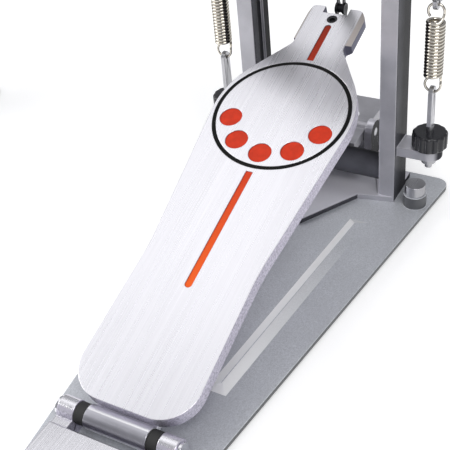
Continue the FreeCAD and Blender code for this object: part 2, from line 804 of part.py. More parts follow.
def make_chain(pedal):
    """The straight run down to the toe, and the run that lies round the sprocket."""
    links = (roller_link(), pin_link())
    pitch = size("chain_pitch")
    drop = []
    for index in range(count("drop_links")):
        link = links[(count("drop_links") - index) % 2].copy()
        link.translate(Vector(0, 0, -index * pitch))
        drop.append(link)
    node(
        pedal.label("chain_drop"), made(Part.Compound(drop)), x=pedal.x, y="pitch_radius", z="axle_height"
    )
    wrap = []
    step = size("360 / sprocket_teeth")
    for index in range(count("wrap_links")):
        link = links[(count("drop_links") + index + 1) % 2].copy()
        link.rotate(Vector(), X_AXIS, -step / 2)
        link.translate(Vector(0, size("pitch_radius"), 0))
        link.rotate(Vector(), X_AXIS, (index + 1) * step)
        wrap.append(link)
    node(pedal.label("chain_wrap"), made(Part.Compound(wrap)), x=pedal.x, z="axle_height")


def make_sprocket(pedal):
    """Sprocket with teeth over its upper half, windows in its web and a long hub."""
    half = size("sprocket_thickness / 2")
    radius = size("pitch_radius")
    toothed = bar_along_x(size("pitch_radius + tooth_height"), half)
    step = size("360 / sprocket_teeth")
    seat = bar_along_x(size("roller_radius + seat_play"), 2 * half)
    seats = []
    for index in range(count("wrap_links") + 2):
        cutter = seat.copy()
        cutter.translate(Vector(0, radius, 0))
        cutter.rotate(Vector(), X_AXIS, index * step)
        seats.append(cutter)
    reach = size("2 * pitch_radius")
    corner = Vector(-reach, -reach, -reach - size("tooth_floor"))
    below = Part.makeBox(2 * reach, 2 * reach, reach, corner)
    teeth = toothed.cut([*seats, below])
    web = bar_along_x(size("pitch_radius - rim_depth"), half)
    windows = []
    for index in range(count("sprocket_window_count")):
        window = bar_along_x(size("sprocket_window_radius"), 2 * half)
        window.translate(Vector(0, size("sprocket_window_circle"), 0))
        window.rotate(Vector(), X_AXIS, index * size("360 / sprocket_window_count"))
        windows.append(window)
    hub_half = size("sprocket_hub_length / 2")
    hub = bar_along_x(size("sprocket_hub_radius"), hub_half)
    bore = bar_along_x(size("axle_radius"), 2 * hub_half)
    shape = teeth.fuse([web, hub]).cut([*windows, bore]).removeSplitter()
    node(pedal.label("sprocket"), made(shape), x=pedal.x, z="axle_height")


def make_frame(pedal):
    """Two posts on a pointed foot, joined by a round bridge, with ears or clamp lugs on the main pedal."""
    foot = new_body()
    points = [
        ("foot_tip_width / 2", "-foot_tip_back"),
        ("foot_shoulder_width / 2", "-foot_shoulder_back"),
        ("post_outer", "-post_depth / 2"),
        ("post_outer", "foot_front"),
    ]
    outline_pad(foot, both_sides(points), "base_top", "foot_thickness")
    solids = [foot, round_bar("x", "bridge_radius", ("-post_inner", "post_inner"), ("0", "bridge_height"))]
    through = ("base_top - overrun", "foot_top + overrun")
    holes = [
        round_bar("z", "bolt_radius", through, (f"{side} * bolt_offset", "bolt_front"))
        for side in (RIGHT, LEFT)
    ]
    depth = ("-post_depth / 2", "post_depth / 2")
    for side in (RIGHT, LEFT):
        across = mirrored(side, "post_inner", "post_outer")
        solids.append(box(across, depth, ("base_top", "axle_height")))
        boss = mirrored(side, "boss_inner", "boss_outer")
        solids.append(round_bar("x", "boss_radius", boss, ("0", "axle_height")))
        seat = mirrored(side, "bearing_inner", "bearing_inner + bearing_width")
        holes.append(round_bar("x", "bearing_radius", seat, ("0", "axle_height")))
        past = mirrored(side, "boss_inner - overrun", "boss_outer + overrun")
        holes.append(round_bar("x", "bearing_radius - boss_overhang", past, ("0", "axle_height")))
        holes.append(box(
            mirrored(side, "post_inner - overrun", "post_inner + post_groove_depth"),
            ("-post_groove_width / 2", "post_groove_width / 2"),
            ("bridge_height + bridge_radius + post_groove_margin", "axle_height - boss_radius"),
        ))
    if pedal.main:
        solids += spring_ears() + clamp_lugs()
        holes += clamp_holes()
        through = ("ear_bottom - overrun", "ear_top + overrun")
        holes += [
            round_bar("z", "hook_rod_radius", through, (f"{side} * spring_offset", "0"))
            for side in (RIGHT, LEFT)
        ]
    node(pedal.label("frame"), cut(fuse(*solids), *holes), x=pedal.x)
    bearings = []
    for side in (RIGHT, LEFT):
        seat = mirrored(side, "bearing_inner", "bearing_inner + bearing_width")
        past = mirrored(side, "bearing_inner - overrun", "bearing_inner + bearing_width + overrun")
        ring = round_bar("x", "bearing_radius", seat, ("0", "axle_height"))
        bearings.append(cut(ring, round_bar("x", "axle_radius + running_gap", past, ("0", "axle_height"))))
    node(pedal.label("bearings"), group(*bearings), x=pedal.x)


def spring_ears():
    """Ears outside the posts, each with a rounded end round its spring hook."""
    ears = []
    for side in (RIGHT, LEFT):
        across = mirrored(side, "post_outer - post_thickness / 2", "spring_offset")
        level = ("ear_bottom", "ear_top")
        ears.append(box(across, ("-ear_depth / 2", "ear_depth / 2"), level))
        ears.append(round_bar("z", "ear_depth / 2", level, (f"{side} * spring_offset", "0")))
    return ears


def clamp_lugs():
    """Foot and upright lugs of the hoop clamp, in front of the bridge."""
    inner = "jaw_width / 2 + moving_gap"
    outer = "jaw_width / 2 + moving_gap + lug_thickness"
    depth = ("jaw_pivot_reach - lug_depth / 2", "jaw_pivot_reach + lug_depth / 2")
    lugs = [box((f"-({outer})", outer), ("0", depth[1]), ("base_top", "foot_top"))]
    for side in (RIGHT, LEFT):
        across = mirrored(side, inner, outer)
        lugs.append(box(across, depth, ("base_top", "jaw_pivot_height")))
        lugs.append(round_bar("x", "lug_depth / 2", across, ("jaw_pivot_reach", "jaw_pivot_height")))
    return lugs


def clamp_holes():
    """The pivot pin's bore through both lugs."""
    reach = "jaw_width / 2 + moving_gap + lug_thickness + overrun"
    return [round_bar("x", "jaw_pin_radius", (f"-({reach})", reach), ("jaw_pivot_reach", "jaw_pivot_height"))]


def make_clamp():
    """Hoop clamp: rocking jaw, its rubber pad, the pivot pin and the wing bolt that tips the jaw."""
    half = "jaw_width / 2"
    pivot = ("jaw_pivot_reach", "jaw_pivot_height")
    plate = box((f"-{half}", half), ("jaw_back", "jaw_front"), ("jaw_underside", "jaw_top"))
    boss = round_bar("x", "jaw_boss_radius", (f"-{half}", half), pivot)
    bore = round_bar("x", "jaw_pin_radius + running_gap", (f"-{half} - overrun", f"{half} + overrun"), pivot)
    bolt_spot = ("0", "wing_bolt_reach")
    thread = round_bar(
        "z", "wing_bolt_radius + running_gap", ("jaw_underside - overrun", "jaw_top + overrun"), bolt_spot
    )
    node("clamp_jaw", cut(fuse(plate, boss), bore, thread))
    pad = box(
        (f"-{half}", half),
        ("jaw_front - pad_length", "jaw_front"),
        ("jaw_underside - pad_thickness", "jaw_underside"),
    )
    node("clamp_pad", group(pad))
    end = "jaw_width / 2 + moving_gap + lug_thickness"
    node("clamp_pin", group(round_bar("x", "jaw_pin_radius", (f"-({end})", end), pivot)))
    length = ("foot_top + moving_gap", "wing_height + wing_blade_height / 2")
    stem = round_bar("z", "wing_bolt_radius", length, bolt_spot)
    hub = round_bar("z", "wing_hub_radius", ("wing_height", "wing_height + wing_blade_height"), bolt_spot)
    blade = box(
        ("-wing_span / 2", "wing_span / 2"),
        ("wing_bolt_reach - wing_thickness / 2", "wing_bolt_reach + wing_thickness / 2"),
        ("wing_height", "wing_height + wing_blade_height"),
    )
    node("clamp_wing_bolt", fuse(stem, hub, blade))


def biarc(start, start_way, end, end_way):
    """Two tangent arcs from one point and direction to another, with equal tangent legs."""
    chord = end - start
    along = chord.dot(start_way + end_way)
    bend = 2 * (1 - start_way.dot(end_way))
    leg = chord.dot(chord) / ((along * along + bend * chord.dot(chord)) ** 0.5 + along)
    first, second = start + start_way * leg, end - end_way * leg
    middle = (first + second) * 0.5
    arcs = []
    for low, corner, high in ((start, first, middle), (middle, second, end)):
        weight = (high - low).Length / (2 * leg)
        top = (low + high + corner * (2 * weight)) * (0.5 / (1 + weight))
        arcs.append(Part.Arc(low, top, high).toShape())
    return arcs


def spring_path(low, high):
    """Points and directions of a spring from its lower loop, up its coil, to its upper loop."""
    radius, coil, rise = size("loop_radius"), size("coil_radius"), size("loop_rise")
    eighth_turn = QUARTER / 2
    path = []
    for eighth in range(-3, 3):
        arm = Rotation(Y_AXIS, -eighth * eighth_turn).multVec(-Z_AXIS)
        path.append((Vector(0, 0, low + radius) + arm * radius, Rotation(Y_AXIS, -QUARTER).multVec(arm)))
    start, end = low + 2 * radius + rise, high - 2 * radius - rise
    quarters = 4 * count("coil_turns")
    climb = (end - start) / quarters
    for quarter in range(1, quarters):
        spin = Rotation(Z_AXIS, quarter * QUARTER)
        way = spin.multVec(Vector(0, coil * math.pi / 2, climb)).normalize()
        path.append((spin.multVec(Vector(coil, 0, 0)) + Vector(0, 0, start + quarter * climb), way))
    for eighth in range(2, -4, -1):
        arm = Rotation(Y_AXIS, eighth * eighth_turn).multVec(Z_AXIS)
        path.append((Vector(0, 0, high - radius) + arm * radius, Rotation(Y_AXIS, -QUARTER).multVec(arm)))
    return path


def least_gap(wire, wire_radius, apart):
    """Least clear distance between stretches of a tube that lie further apart along it than a length."""
    points = wire.discretize(Number=12 * len(wire.Edges) // 2)
    step = wire.Length / (len(points) - 1)
    skip = math.ceil(apart / step)
    distances = (
        first.distanceToPoint(second)
        for index, first in enumerate(points)
        for second in points[index + skip:]
    )
    return min(distances) - 2 * wire_radius


def make_spring(side_name, side):
    """A close-wound return spring with a loop at each end, drawn round its own axis."""
    path = spring_path(size("hook_hole_height"), size("axle_height - stirrup_eye"))
    edges = []
    for (start, start_way), (end, end_way) in zip(path, path[1:]):
        edges += biarc(start, start_way, end, end_way)
    wire = Part.Wire(edges)
    radius = size("wire_radius")
    ring = Part.Wire(Part.Circle(path[0][0], path[0][1], radius).toShape())
    shape = wire.makePipeShell([ring], True, False)
    gap = least_gap(wire, radius, math.pi * size("coil_radius"))
    print(f"{side_name} spring: least gap to itself {gap:.2f} mm")
    node(f"{side_name}_spring", made(shape), x=f"{side} * spring_offset")


def make_rocker(side_name, side):
    """Rocker arm on the axle's end with the pin for the spring's stirrup, and that stirrup."""
    plate = mirrored(side, "rocker_inner", "rocker_outer")
    past = mirrored(side, "rocker_inner - overrun", "rocker_outer + overrun")
    low = ("0", "-rocker_arm")
    flange = "rocker_pin_end - rocker_flange_length"
    arm = fuse(
        round_bar("x", "rocker_hub_radius", plate),
        box(plate, ("-rocker_end_radius", "rocker_end_radius"), ("-rocker_arm", "0")),
        round_bar("x", "rocker_end_radius", plate, low),
        round_bar("x", "rocker_pin_radius", mirrored(side, "rocker_inner", "rocker_pin_end"), low),
        round_bar("x", "rocker_pin_flange", mirrored(side, flange, "rocker_pin_end"), low),
    )
    node(f"{side_name}_rocker", cut(arm, round_bar("x", "axle_radius", past)), z="axle_height")
    half = "stirrup_thickness / 2"
    sheet_span = mirrored(side, f"spring_offset - {half}", f"spring_offset + {half}")
    sheet_past = mirrored(side, "rocker_inner", "rocker_pin_end + overrun")
    eye = ("0", "-stirrup_eye")
    link = fuse(
        round_bar("x", "stirrup_ring_bore + stirrup_wall", sheet_span, low),
        box(sheet_span, ("-hook_width / 2", "hook_width / 2"), ("-stirrup_eye", "-rocker_arm")),
        round_bar("x", "hook_width / 2", sheet_span, eye),
    )
    holes = [
        round_bar("x", "stirrup_ring_bore", sheet_past, low),
        round_bar("x", "hook_hole_radius", sheet_past, eye),
    ]
    node(f"{side_name}_stirrup", cut(link, *holes), z="axle_height")


def make_adjusters():
    """Spring hooks through the frame's ears, each with a nut below and a black knob above."""
    hooks = []
    knobs = []
    for side in (RIGHT, LEFT):
        spot = (f"{side} * spring_offset", "0")
        sheet_span = mirrored(side, "spring_offset - hook_plate / 2", "spring_offset + hook_plate / 2")
        past = mirrored(side, "spring_offset - hook_plate", "spring_offset + hook_plate")
        top = ("0", "hook_hole_height")
        rod_span = ("ear_bottom - nut_height - rod_tail", "hook_neck_height")
        flat = fuse(
            box(sheet_span, ("-hook_width / 2", "hook_width / 2"), ("hook_neck_height", "hook_hole_height")),
            round_bar("x", "hook_width / 2", sheet_span, top),
            round_bar("z", "hook_rod_radius", rod_span, spot),
        )
        hooks.append(cut(flat, round_bar("x", "hook_hole_radius", past, top)))
        nut = round_bar("z", "nut_radius", ("ear_bottom - nut_height", "ear_bottom"), spot)
        knob = round_bar("z", "knob_radius", ("ear_top", "ear_top + knob_height"), spot)
        through = ("ear_bottom - nut_height - overrun", "ear_top + knob_height + overrun")
        bores = [round_bar("z", "hook_rod_radius", through, spot) for _ in range(2)]
        hooks.append(cut(nut, bores[0]))
        knobs.append(cut(knob, bores[1]))
    node("spring_hooks", group(*hooks))
    node("spring_knobs", group(*knobs))


def make_beater(side_name, side):
    """Beater hub on its axle, key screw, rod and head, drawn upright and leaned back."""
    where = {"x": f"{side} * beater_offset", "z": "axle_height", "turn": (X_AXIS, "beater_tilt")}
    across = ("-beater_hub_width / 2", "beater_hub_width / 2")
    past = ("-beater_hub_width", "beater_hub_width")
    front = "beater_neck_depth / 2"
    hub = fuse(
        round_bar("x", "beater_hub_radius", across),
        box(across, (f"-{front}", front), ("0", "beater_neck_height")),
    )
    screw_spot = ("0", "key_screw_height")
    inner = "beater_rod_radius + moving_gap"
    depth = ("beater_rod_start - moving_gap", "beater_neck_height + overrun")
    socket = round_bar("z", "beater_rod_radius + running_gap", depth)
    thread = round_bar("y", "key_screw_radius", (f"-{front} - overrun", "0"), screw_spot)
    node(f"{side_name}_beater_hub", cut(hub, round_bar("x", "axle_radius", past), socket, thread), **where)
    side_half = "key_head_side / 2"
    screw = fuse(
        round_bar("y", "key_screw_radius", (f"-{front}", f"-({inner})"), screw_spot),
        box(
            (f"-{side_half}", side_half),
            (f"-{front} - key_head_length", f"-{front}"),
            (f"key_screw_height - {side_half}", f"key_screw_height + {side_half}"),
        ),
    )
    node(f"{side_name}_beater_screw", screw, **where)
    span = ("beater_rod_start", "beater_rod_start + beater_rod_length")
    node(f"{side_name}_beater_rod", group(round_bar("z", "beater_rod_radius", span)), **where)
    half = "beater_head_length / 2"
    mallet = round_bar("y", "beater_head_radius", (f"-{half}", half), ("0", "beater_head_centre"))
    ends = [("0", f"-{half}", "beater_head_centre"), ("0", half, "beater_head_centre")]
    head = cut(rounded(mallet, "beater_head_rounding", ends), round_bar("z", "beater_rod_radius", span))
    node(f"{side_name}_beater_head", head, **where)


def yoke(centre, side, arms):
    """A fork of a universal joint, with its base to one side of the joint's centre."""
    def along(low, high):
        return tuple(f"{centre} + ({text})" for text in mirrored(side, low, high))

    body = round_bar("x", "yoke_radius", along("-yoke_tip", "yoke_reach + yoke_base"))
    open_span = along("-yoke_tip - overrun", "yoke_reach")
    slot = ("-yoke_slot / 2", "yoke_slot / 2")
    full = ("-yoke_radius - overrun", "yoke_radius + overrun")
    cuts = [box(open_span, slot, full) if arms == "y" else box(open_span, full, slot)]
    for low, high in (("yoke_arm_width / 2", full[1]), (full[0], "-yoke_arm_width / 2")):
        cuts.append(box(open_span, full, (low, high)) if arms == "y" else box(open_span, (low, high), full))
    cuts.append(round_bar(arms, "trunnion_radius", full, (centre, "0")))
    return cut(body, *cuts)


def joint_cross(centre):
    """The cross of a universal joint, with four trunnions."""
    half = "cross_side / 2"
    sides = (f"-{half}", half)
    ends = ("-yoke_radius", "yoke_radius")
    return fuse(
        box((f"{centre} - {half}", f"{centre} + {half}"), sides, sides),
        round_bar("y", "trunnion_radius", ends, (centre, "0")),
        round_bar("z", "trunnion_radius", ends, (centre, "0")),
    )


def make_axles():
    """Main axle, the stub that carries the left beater, the second pedal's axle and the drive shaft."""
    main = fuse(
        round_bar("x", "axle_radius", ("-axle_break", "rocker_outer + axle_overhang")),
        round_bar("x", "journal_radius", ("-axle_break - journal_length", "-axle_break")),
    )
    node("main_axle", main, z="axle_height")
    near = "-main_joint_offset"
    far = "-slave_spacing + slave_joint_offset"
    stub = fuse(
        round_bar("x", "axle_radius", (f"{near} + yoke_reach", "-axle_break - moving_gap")),
        yoke(near, RIGHT, "y"),
    )
    depth = ("-axle_break - journal_length - moving_gap", "-axle_break + overrun")
    socket = round_bar("x", "journal_radius + running_gap", depth)
    node("left_axle", cut(stub, socket), z="axle_height")
    slave = fuse(
        round_bar("x", "axle_radius", ("-slave_spacing - boss_outer - axle_overhang", f"{far} - yoke_reach")),
        yoke(far, LEFT, "y"),
    )
    node("slave_axle", slave, z="axle_height")
    node("main_joint_cross", joint_cross(near), z="axle_height")
    node("slave_joint_cross", joint_cross(far), z="axle_height")
    root = f"{near} - yoke_reach - yoke_base"
    mouth = f"{root} - tube_length"
    tube = fuse(
        yoke(near, LEFT, "z"),
        round_bar("x", "tube_radius", (mouth, root)),
        round_bar("x", "collar_radius", (mouth, f"{mouth} + collar_length")),
    )
    depth = (f"{mouth} - overrun", f"{mouth} + shaft_overlap + overrun")
    bore = round_bar("x", "shaft_rod_radius + running_gap", depth)
    screw_x = f"{mouth} + collar_length / 2"
    thread = round_bar("z", "key_screw_radius", ("0", "collar_radius + overrun"), (screw_x, "0"))
    node("drive_tube", cut(tube, bore, thread), z="axle_height")
    rod = fuse(
        yoke(far, RIGHT, "z"),
        round_bar("x", "shaft_rod_radius", (f"{far} + yoke_reach", f"{mouth} + shaft_overlap")),
    )
    node("drive_rod", rod, z="axle_height")
    side_half = "key_head_side / 2"
    length = ("shaft_rod_radius + moving_gap", "collar_radius")
    screw = fuse(
        round_bar("z", "key_screw_radius", length, (screw_x, "0")),
        box(
            (f"{screw_x} - {side_half}", f"{screw_x} + {side_half}"),
            (f"-{side_half}", side_half),
            ("collar_radius", "collar_radius + key_head_length"),
        ),
    )
    node("shaft_key_screw", screw, z="axle_height")


for pedal in PEDALS:
    make_base(pedal)
    make_heel(pedal)
    make_footboard(pedal)
    make_anchor(pedal)
    make_chain(pedal)
    make_sprocket(pedal)
    make_frame(pedal)
make_clamp()
make_axles()
make_adjusters()
for side_name, side in (("right", RIGHT), ("left", LEFT)):
    make_rocker(side_name, side)
    make_spring(side_name, side)
    make_beater(side_name, side)

doc.recompute()
failed = [thing.Name for thing in doc.Objects if {"Invalid", "Error"} & set(thing.State)]
failed += [thing.Label for thing in nodes if thing.Shape.isNull() or not thing.Shape.isValid()]
if failed:
    raise RuntimeError(f"Not built: {failed}")
os.makedirs("parts", exist_ok=True)
for thing in nodes:
    thing.Shape.exportStep(f"parts/{thing.Label}.step")
print(len(nodes), "nodes")
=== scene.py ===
import logging
import math
from dataclasses import dataclass
from enum import Enum

import bpy
import numpy as np
from mathutils import Matrix, Vector


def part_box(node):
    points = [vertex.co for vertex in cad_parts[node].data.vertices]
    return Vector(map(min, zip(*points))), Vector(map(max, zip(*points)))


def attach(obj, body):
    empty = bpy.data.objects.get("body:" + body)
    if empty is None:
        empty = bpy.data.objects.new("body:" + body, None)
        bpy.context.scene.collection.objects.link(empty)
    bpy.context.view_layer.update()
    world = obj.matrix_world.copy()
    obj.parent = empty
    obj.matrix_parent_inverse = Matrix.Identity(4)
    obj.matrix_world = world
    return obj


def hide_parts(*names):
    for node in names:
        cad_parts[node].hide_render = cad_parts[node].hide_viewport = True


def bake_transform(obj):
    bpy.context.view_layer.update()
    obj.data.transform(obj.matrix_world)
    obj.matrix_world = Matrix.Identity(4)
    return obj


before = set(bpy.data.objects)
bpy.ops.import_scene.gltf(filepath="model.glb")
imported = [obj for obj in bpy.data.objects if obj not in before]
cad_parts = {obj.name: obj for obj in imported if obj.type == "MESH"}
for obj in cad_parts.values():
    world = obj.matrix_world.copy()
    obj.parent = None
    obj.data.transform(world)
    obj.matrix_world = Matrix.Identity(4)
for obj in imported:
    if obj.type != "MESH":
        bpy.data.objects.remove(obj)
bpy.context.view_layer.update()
MM = 0.001
TURN = 2 * math.pi
MERGE_GAP = 0.002 * MM
SHARP_ANGLE = math.radians(34)
EDGE_SEGMENTS = 2
WORN_TURN = (0.72, 0.97)
MIX_FIRST, MIX_SECOND, MIX_RESULT = 6, 7, 2
UP = (0.0, 0.0, 1.0)
STREAK = 0.09
log = logging.getLogger("double_pedal")

Point = tuple[float, float, float]
Colour = tuple[float, float, float]
Pair = tuple[float, float]
Socket = bpy.types.NodeSocket


class Pedal(Enum):
    """The two pedals, by the first word of their nodes' names."""

    MAIN = "main"
    SLAVE = "slave"


class Side(Enum):
    """The two beaters and springs, by name, with the way that each lies along X."""

    RIGHT = 1
    LEFT = -1

    @property
    def word(self) -> str:
        """The first word of this side's nodes."""
        return self.name.lower()


class Recipe:
    """A material under construction: its shader and the nodes that feed it."""

    def __init__(self, name: str) -> None:
        """Starts an empty material on the principled shader."""
        self.material = bpy.data.materials.new(name)
        self.material.use_nodes = True
        self.tree = self.material.node_tree
        self.shader = self.tree.nodes["Principled BSDF"]

    def fix(self, **values: float) -> None:
        """Sets shader sockets to one value all over, with spaces in place of underscores."""
        for socket, value in values.items():
            title = socket.replace("_", " ").title().replace("Ior", "IOR")
            self.shader.inputs[title].default_value = value

    def drive(self, socket: str, source: Socket) -> None:
        """Feeds a shader socket from a node."""
        self.tree.links.new(source, self.shader.inputs[socket])

    def fill(self, target: Socket, value: object) -> None:
        """Links a node's input to a socket, or sets it to a value."""
        if isinstance(value, Socket):
            self.tree.links.new(value, target)
        else:
            target.default_value = value

    def add(self, kind: str, **inputs: object) -> bpy.types.Node:
        """Adds a node and fills its inputs.

        Args:
            kind: The node's type, without the common prefix.
            inputs: Values or sockets, by input name with underscores for spaces.

        Returns:
            The new node.
        """
        node = self.tree.nodes.new(f"ShaderNode{kind}")
        for key, value in inputs.items():
            self.fill(node.inputs[key.replace("_", " ")], value)
        return node

    def work(self, kind: str, operation: str, *operands: object) -> Socket:
        """The value that a Math or VectorMath node gives for an operation on values or sockets."""
        node = self.add(kind)
        node.operation = operation
        for target, operand in zip(node.inputs, operands):
            self.fill(target, operand)
        return node.outputs["Value"]

    def place(self) -> Socket:
        """Object coordinates."""
        return self.add("TexCoord").outputs["Object"]

    def span(self, source: Socket, low: float, high: float, start: float = 0.0, stop: float = 1.0) -> Socket:
        """Maps the stretch from start to stop onto the stretch from low to high, without going past it."""
        node = self.add("MapRange", Value=source, From_Min=start, From_Max=stop, To_Min=low, To_Max=high)
        return node.outputs["Result"]

    def band(self, source: Socket, rise: Pair, fall: Pair) -> Socket:
        """1 between two stretches of a value and 0 outside them, with an even change along each."""
        growing, shrinking = self.span(source, 0.0, 1.0, *rise), self.span(source, 1.0, 0.0, *fall)
        return self.work("Math", "MULTIPLY", growing, shrinking)

    def either(self, first: Socket, second: Socket) -> Socket:
        """The sum of two shares, at most 1."""
        return self.span(self.work("Math", "ADD", first, second), 0.0, 1.0)

    def mix(self, share: Socket, first: object, second: object) -> Socket:
        """A colour between two colours or colour sockets, by a share from 0 to 1."""
        node = self.add("Mix", Factor=share)
        node.data_type = "RGBA"
        for place, value in ((MIX_FIRST, first), (MIX_SECOND, second)):
            self.fill(node.inputs[place], value if isinstance(value, Socket) else (*value, 1.0))
        return node.outputs[MIX_RESULT]

    def along(self, axis: str, start: float, stop: float) -> Socket:
        """0 before one place along X, Y or Z, 1 after another and an even change between them."""
        return self.span(self.add("SeparateXYZ", Vector=self.place()).outputs[axis], 0.0, 1.0, start, stop)

    def facing(self, axis: Point, either_way: bool = False) -> Socket:
        """How far the surface faces along an axis, by its normal in the piece's own frame.

        Args:
            axis: A direction of length 1.
            either_way: Whether facing back along the axis counts as much.

        Returns:
            A value from -1 to 1, or from 0 to 1 either way.
        """
        lean = self.work("VectorMath", "DOT_PRODUCT", self.add("TexCoord").outputs["Normal"], axis)
        return self.work("Math", "ABSOLUTE", lean) if either_way else lean

    def rounded(self, reach: float, samples: int = 4) -> Socket:
        """The normal averaged over a reach, as if sharp edges were rounded by it."""
        soft = self.add("Bevel", Radius=reach)
        soft.samples = samples
        return soft.outputs["Normal"]

    def edges(self, reach: float) -> Socket:
        """1 along sharp edges and 0 elsewhere: how far the normal turns when it is averaged over a reach."""
        flat = self.add("NewGeometry").outputs["Normal"]
        turned = self.work("VectorMath", "DOT_PRODUCT", self.rounded(reach), flat)
        return self.span(turned, 1.0, 0.0, *WORN_TURN)

    def emboss(self, height: Socket, depth: float, rounding: float = 0.0) -> None:
        """Raises the surface's grain by a height map.

        Args:
            height: The height map.
            depth: The grain's depth in metres.
            rounding: The radius in metres by which sharp edges look rounded, or 0 for none.
        """
        bump = self.add("Bump", Height=height, Distance=depth)
        if rounding:
            self.fill(bump.inputs["Normal"], self.rounded(rounding, samples=8))
        self.drive("Normal", bump.outputs["Normal"])


@dataclass(frozen=True)
class Noise:
    """A cloudy noise, and the shade of a finish's colour that it lays over a tone.

    The share of the shade grows from 0 to the weight as the noise goes from start to stop.
    """

    scale: float
    detail: float
    start: float = 0.0
    stop: float = 1.0
    shade: float = 1.0
    weight: float = 1.0
    stretch: Point = (1.0, 1.0, 1.0)

    def add(self, recipe: Recipe, turn: Point = (0.0, 0.0, 0.0)) -> Socket:
        """The noise from 0 to 1 in object coordinates, turned by angles in radians and then stretched."""
        turned = recipe.add("Mapping", Vector=recipe.place(), Rotation=turn).outputs["Vector"]
        at = recipe.add("Mapping", Vector=turned, Scale=self.stretch).outputs["Vector"]
        return recipe.add("TexNoise", Vector=at, Scale=self.scale, Detail=self.detail).outputs["Fac"]


@dataclass(frozen=True)
class Finish:
    """A surface finish with one shared material.

    The cloud changes the tone from the ground's shade to its own; shades are factors on the colour.
    The grain, or else the cloud, makes the relief, and the roughness follows one of them by the spread.
    Sharp edges look rounded by the edge radius, and within their reach they are worn to a shade, or take a
    painted shadow colour where the finish gives one.
    """

    name: str
    colour: Colour
    roughness: float
    metal: float = 0.0
    gloss: float = 0.5
    ground: float = 0.8
    cloud: Noise = Noise(60.0, 4.0)
    grain: Noise | None = None
    grain_roughens: bool = False
    spread: Pair = (-0.08, 0.1)
    depth: float = 0.05 * MM
    edge_radius: float = 0.0
    edge_reach: float = 0.6 * MM
    edge_shade: float = 1.35
    rim_shadow_colour: Colour | None = None

    def material(self) -> bpy.types.Material:
        """The finish's material, made the first time it is asked for."""
        found = bpy.data.materials.get(self.name)
        if found:
            return found
        recipe = Recipe(self.name)
        recipe.shader.inputs["Base Color"].default_value = (*self.colour, 1.0)
        recipe.fix(metallic=self.metal, specular_ior_level=self.gloss)
        self.write(recipe)
        return recipe.material

    def shade(self, factor: float) -> Colour:
        """The finish's colour, lighter or darker by a factor."""
        red, green, blue = (min(1.0, channel * factor) for channel in self.colour)
        return red, green, blue

    def lay(self, recipe: Recipe, noise: Noise, source: Socket, under: object) -> Socket:
        """Lays a noise's shade over a tone."""
        share = recipe.span(source, 0.0, noise.weight, noise.start, noise.stop)
        return recipe.mix(share, under, self.shade(noise.shade))

    def tone(self, recipe: Recipe, cloud: Socket) -> Socket:
        """The tone before any wear, to which some finishes add."""
        return self.lay(recipe, self.cloud, cloud, self.shade(self.ground))

    def worn(self, recipe: Recipe, tone: Socket) -> Socket:
        """A tone with its sharp edges rubbed where the finish wears, or with a painted shadow along them
        where it gives a shadow colour.
        """
        if not self.edge_reach:
            return tone
        # The painted shadow colour, where given, takes the place of the rubbed shade.
        bare = self.rim_shadow_colour or self.shade(self.edge_shade)
        return recipe.mix(recipe.edges(self.edge_reach), tone, bare)

    def coat(self, recipe: Recipe, tone: Socket, rough: Socket, relief: Socket) -> None:
        """Feeds the shader with a tone, a roughness that follows a grain and a relief."""
        low, high = (self.roughness + step for step in self.spread)
        recipe.drive("Base Color", tone)
        recipe.drive("Roughness", recipe.span(rough, low, high))
        recipe.emboss(relief, self.depth, self.edge_radius)

    def write(self, recipe: Recipe) -> None:
        """Adds the nodes that make this finish."""
        cloud = self.cloud.add(recipe)
        grain = self.grain.add(recipe) if self.grain else cloud
        tone = self.worn(recipe, self.tone(recipe, cloud))
        self.coat(recipe, tone, grain if self.grain_roughens else cloud, grain)


